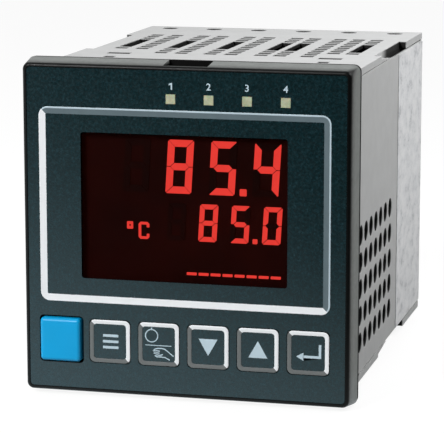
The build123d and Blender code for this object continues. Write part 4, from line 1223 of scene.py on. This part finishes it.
SCREW_R = 2.3
SCREW_SLOT = 0.75
TERMINAL_COUNT = 12
BLOCK_PITCH = 29.0
TERMINAL_PITCH = 7.0
terminal_centres = [(x, z) for x in spread_out(3, BLOCK_PITCH) for z in spread_out(TERMINAL_COUNT, TERMINAL_PITCH)]


def terminal_heads():
    """Round screw heads with a crossed slot."""
    low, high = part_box("terminal_screws")
    start, end = low.y / MM, high.y / MM
    discs, quarters = [], []
    gap = SCREW_SLOT / 2
    corner = math.degrees(math.asin(gap / (SCREW_R - 0.1)))
    for x, z in terminal_centres:
        discs.append(arc(x, z, SCREW_R, 0, 360, 24)[:-1])
        for turn in (0, 90, 180, 270):
            a = math.radians(turn + 45)
            inner = (x + gap * math.sqrt(2) * math.cos(a), z + gap * math.sqrt(2) * math.sin(a))
            quarters.append([inner] + arc(x, z, SCREW_R - 0.1, turn + corner, turn + 90 - corner, 6))
    base = outline_mesh("terminal_heads", discs, start, end - 0.8)
    add_piece("terminal_heads", base, materials["screw_steel"], "housing", ("terminal_screws",))
    top = outline_mesh("terminal_head_tops", quarters, end - 0.8, end, 0.08)
    add_piece("terminal_head_tops", top, materials["screw_steel"], "housing")


def terminal_numerals():
    """Number beside each terminal, read from the rear."""
    joined = bmesh.new()
    turn = Matrix.Rotation(math.radians(180), 4, "Z") @ Matrix.Rotation(math.radians(90), 4, "X")
    for i, (x, z) in enumerate(sorted(terminal_centres, key=lambda c: (-c[0], -c[1]))):
        font = bpy.data.curves.new("number", "FONT")
        font.body = str(i + 1)
        font.offset = 0.05 * MM
        font.size = 2.6 * MM
        font.align_x = "CENTER"
        font.align_y = "CENTER"
        font.resolution_u = 2
        font.extrude = 0.015 * MM
        holder = bpy.data.objects.new("number", font)
        bpy.context.scene.collection.objects.link(holder)
        mesh = bpy.data.meshes.new_from_object(holder)
        bpy.data.objects.remove(holder)
        place = Vector(((x - 7.0) * MM, (HOUSING_REAR + 0.005) * MM, z * MM))
        mesh.transform(Matrix.Translation(place) @ turn)
        joined.from_mesh(mesh)
    mesh = bpy.data.meshes.new("terminal_numerals")
    joined.to_mesh(mesh)
    joined.free()
    add_piece("terminal_numerals", mesh, print_white, "housing")


terminal_heads()
terminal_numerals()


# Floor, light and camera

def white_for(tree, kinds):
    """1 for rays of the named kinds, else 0."""
    path = add_node(tree, "ShaderNodeLightPath")
    total = path.outputs[kinds[0]]
    for kind in kinds[1:]:
        top = add_node(tree, "ShaderNodeMath", operation="MAXIMUM")
        tree.links.new(total, top.inputs[0])
        tree.links.new(path.outputs[kind], top.inputs[1])
        total = top.outputs[0]
    return total


FLOOR_SIZE = 6.0
FLOOR_DROP = 0.0005
FLOOR_WHITE = 0.8
FLOOR_GLOW = 1.12

# Brightness of the room by direction, from dim in front and at the right to bright behind
ROOM_TONES = [(0.0, (0.03, 0.03, 0.03)), (0.45, (0.15, 0.15, 0.15)), (1.0, (0.68, 0.68, 0.68))]
# Brightness of the floor as the object sees it, from the front right to the back left
FLOOR_POOL = [(0.0, (0.03, 0.03, 0.03)), (0.15, (0.09, 0.09, 0.09)), (0.48, (0.45, 0.46, 0.46)), (1.0, (0.86, 0.96, 1.0))]
FLOOR_REFLECTED = 1.9
FLOOR_BEHIND = (0.42, 0.43, 0.42, 1.0)
FLOOR_BOUNCE = (0.22, 0.22, 0.22, 1.0)


def shifted(tree, value, offset):
    node = add_node(tree, "ShaderNodeMath", operation="ADD")
    node.inputs[1].default_value = offset
    node.use_clamp = True
    tree.links.new(value, node.inputs[0])
    return node.outputs[0]


def make_floor():
    """Pale floor. The camera sees it nearly white, with the object's shadow on it."""
    low, _ = cad_box
    bpy.ops.mesh.primitive_plane_add(size=FLOOR_SIZE, location=(0, 0, low[2] - FLOOR_DROP))
    floor = bpy.context.object
    floor.name = "floor"
    material, tree, shader = new_material("floor_white")
    tree.nodes.remove(shader)
    plain = add_node(tree, "ShaderNodeBsdfDiffuse", Color=(0.8, 0.8, 0.8, 1.0))
    glow = add_node(tree, "ShaderNodeEmission", Strength=FLOOR_GLOW)
    seen = add_node(tree, "ShaderNodeMixShader", Fac=FLOOR_WHITE)
    tree.links.new(plain.outputs[0], seen.inputs[1])
    tree.links.new(glow.outputs[0], seen.inputs[2])
    pool = add_node(tree, "ShaderNodeBsdfDiffuse")
    place = add_node(tree, "ShaderNodeTexCoord")
    axes = add_node(tree, "ShaderNodeSeparateXYZ")
    tree.links.new(place.outputs["Object"], axes.inputs[0])
    across = add_node(tree, "ShaderNodeMath", operation="MULTIPLY")
    across.inputs[1].default_value = -4.0
    tree.links.new(axes.outputs["X"], across.inputs[0])
    ahead = add_node(tree, "ShaderNodeMath", operation="MINIMUM")
    ahead.inputs[1].default_value = 0.0
    tree.links.new(axes.outputs["Y"], ahead.inputs[0])
    nearness = add_node(tree, "ShaderNodeMath", operation="MULTIPLY_ADD")
    nearness.inputs[1].default_value = 3.2
    tree.links.new(ahead.outputs[0], nearness.inputs[0])
    tree.links.new(across.outputs[0], nearness.inputs[2])
    pooled = ramp(tree, shifted(tree, nearness.outputs[0], 0.9), FLOOR_POOL)
    behind = add_node(tree, "ShaderNodeMix", data_type="RGBA")
    behind.inputs["B"].default_value = FLOOR_BEHIND
    tree.links.new(between(tree, axes.outputs["Y"], -10.0, 40.0), behind.inputs["Factor"])
    tree.links.new(pooled, behind.inputs["A"])
    tones = behind.outputs["Result"]
    pool.inputs["Color"].default_value = FLOOR_BOUNCE
    shine = add_node(tree, "ShaderNodeEmission", Strength=FLOOR_REFLECTED)
    tree.links.new(tones, shine.inputs["Color"])
    around = add_node(tree, "ShaderNodeMixShader")
    tree.links.new(white_for(tree, ["Is Glossy Ray"]), around.inputs[0])
    tree.links.new(pool.outputs[0], around.inputs[1])
    tree.links.new(shine.outputs[0], around.inputs[2])
    mix = add_node(tree, "ShaderNodeMixShader")
    tree.links.new(white_for(tree, ["Is Camera Ray"]), mix.inputs[0])
    tree.links.new(around.outputs[0], mix.inputs[1])
    tree.links.new(seen.outputs[0], mix.inputs[2])
    tree.links.new(mix.outputs[0], tree.nodes["Material Output"].inputs["Surface"])
    floor.data.materials.append(material)


def make_world():
    world = bpy.data.worlds.new("studio")
    bpy.context.scene.world = world
    world.use_nodes = True
    tree = world.node_tree
    tree.nodes.clear()
    room = add_node(tree, "ShaderNodeBackground", Color=(1.0, 1.0, 1.0, 1.0))
    place = add_node(tree, "ShaderNodeTexCoord")
    dot = add_node(tree, "ShaderNodeVectorMath", operation="DOT_PRODUCT")
    dot.inputs[1].default_value = (-0.25, 0.75, 0.15)
    tree.links.new(place.outputs["Generated"], dot.inputs[0])
    tree.links.new(ramp(tree, shifted(tree, dot.outputs["Value"], 0.35), ROOM_TONES), room.inputs["Color"])
    white = add_node(tree, "ShaderNodeBackground", Color=(1.0, 1.0, 1.0, 1.0), Strength=1.0)
    mix = add_node(tree, "ShaderNodeMixShader")
    output = add_node(tree, "ShaderNodeOutputWorld")
    kinds = ["Is Camera Ray", "Is Transmission Ray"]
    tree.links.new(white_for(tree, kinds), mix.inputs[0])
    tree.links.new(room.outputs[0], mix.inputs[1])
    tree.links.new(white.outputs[0], mix.inputs[2])
    tree.links.new(mix.outputs[0], output.inputs["Surface"])


def area_light(name, place, target, size, power):
    light = bpy.data.lights.new(name, "AREA")
    light.shape = "RECTANGLE"
    light.size, light.size_y = size
    light.energy = power
    holder = bpy.data.objects.new(name, light)
    bpy.context.scene.collection.objects.link(holder)
    holder.location = place
    aim = Vector(target) - Vector(place)
    holder.rotation_euler = aim.to_track_quat("-Z", "Y").to_euler()
    return holder


def make_camera():
    data = bpy.data.cameras.new("camera")
    data.sensor_width = SENSOR_WIDTH
    data.sensor_fit = "HORIZONTAL"
    data.lens = FOCAL_PIXELS / IMAGE_WIDTH * SENSOR_WIDTH
    data.clip_start = 0.01
    holder = bpy.data.objects.new("camera", data)
    bpy.context.scene.collection.objects.link(holder)
    holder.location = CAMERA_PLACE
    holder.rotation_euler = Vector(CAMERA_FORWARD).to_track_quat("-Z", "Y").to_euler()
    bpy.context.scene.camera = holder


make_floor()
make_world()
make_camera()
area_light("front_left", (-0.5, -1.0, 0.75), (0, 0, 0), (0.4, 0.4), 17.0)
area_light("above", (-0.12, 0.05, 0.8), (0, 0.05, 0), (0.6, 0.6), 0.5)
area_light("right", (0.26, 0.10, 0.24), (0.045, 0.06, 0.01), (0.12, 0.12), 0.67)

bpy.context.scene.view_settings.view_transform = "Standard"
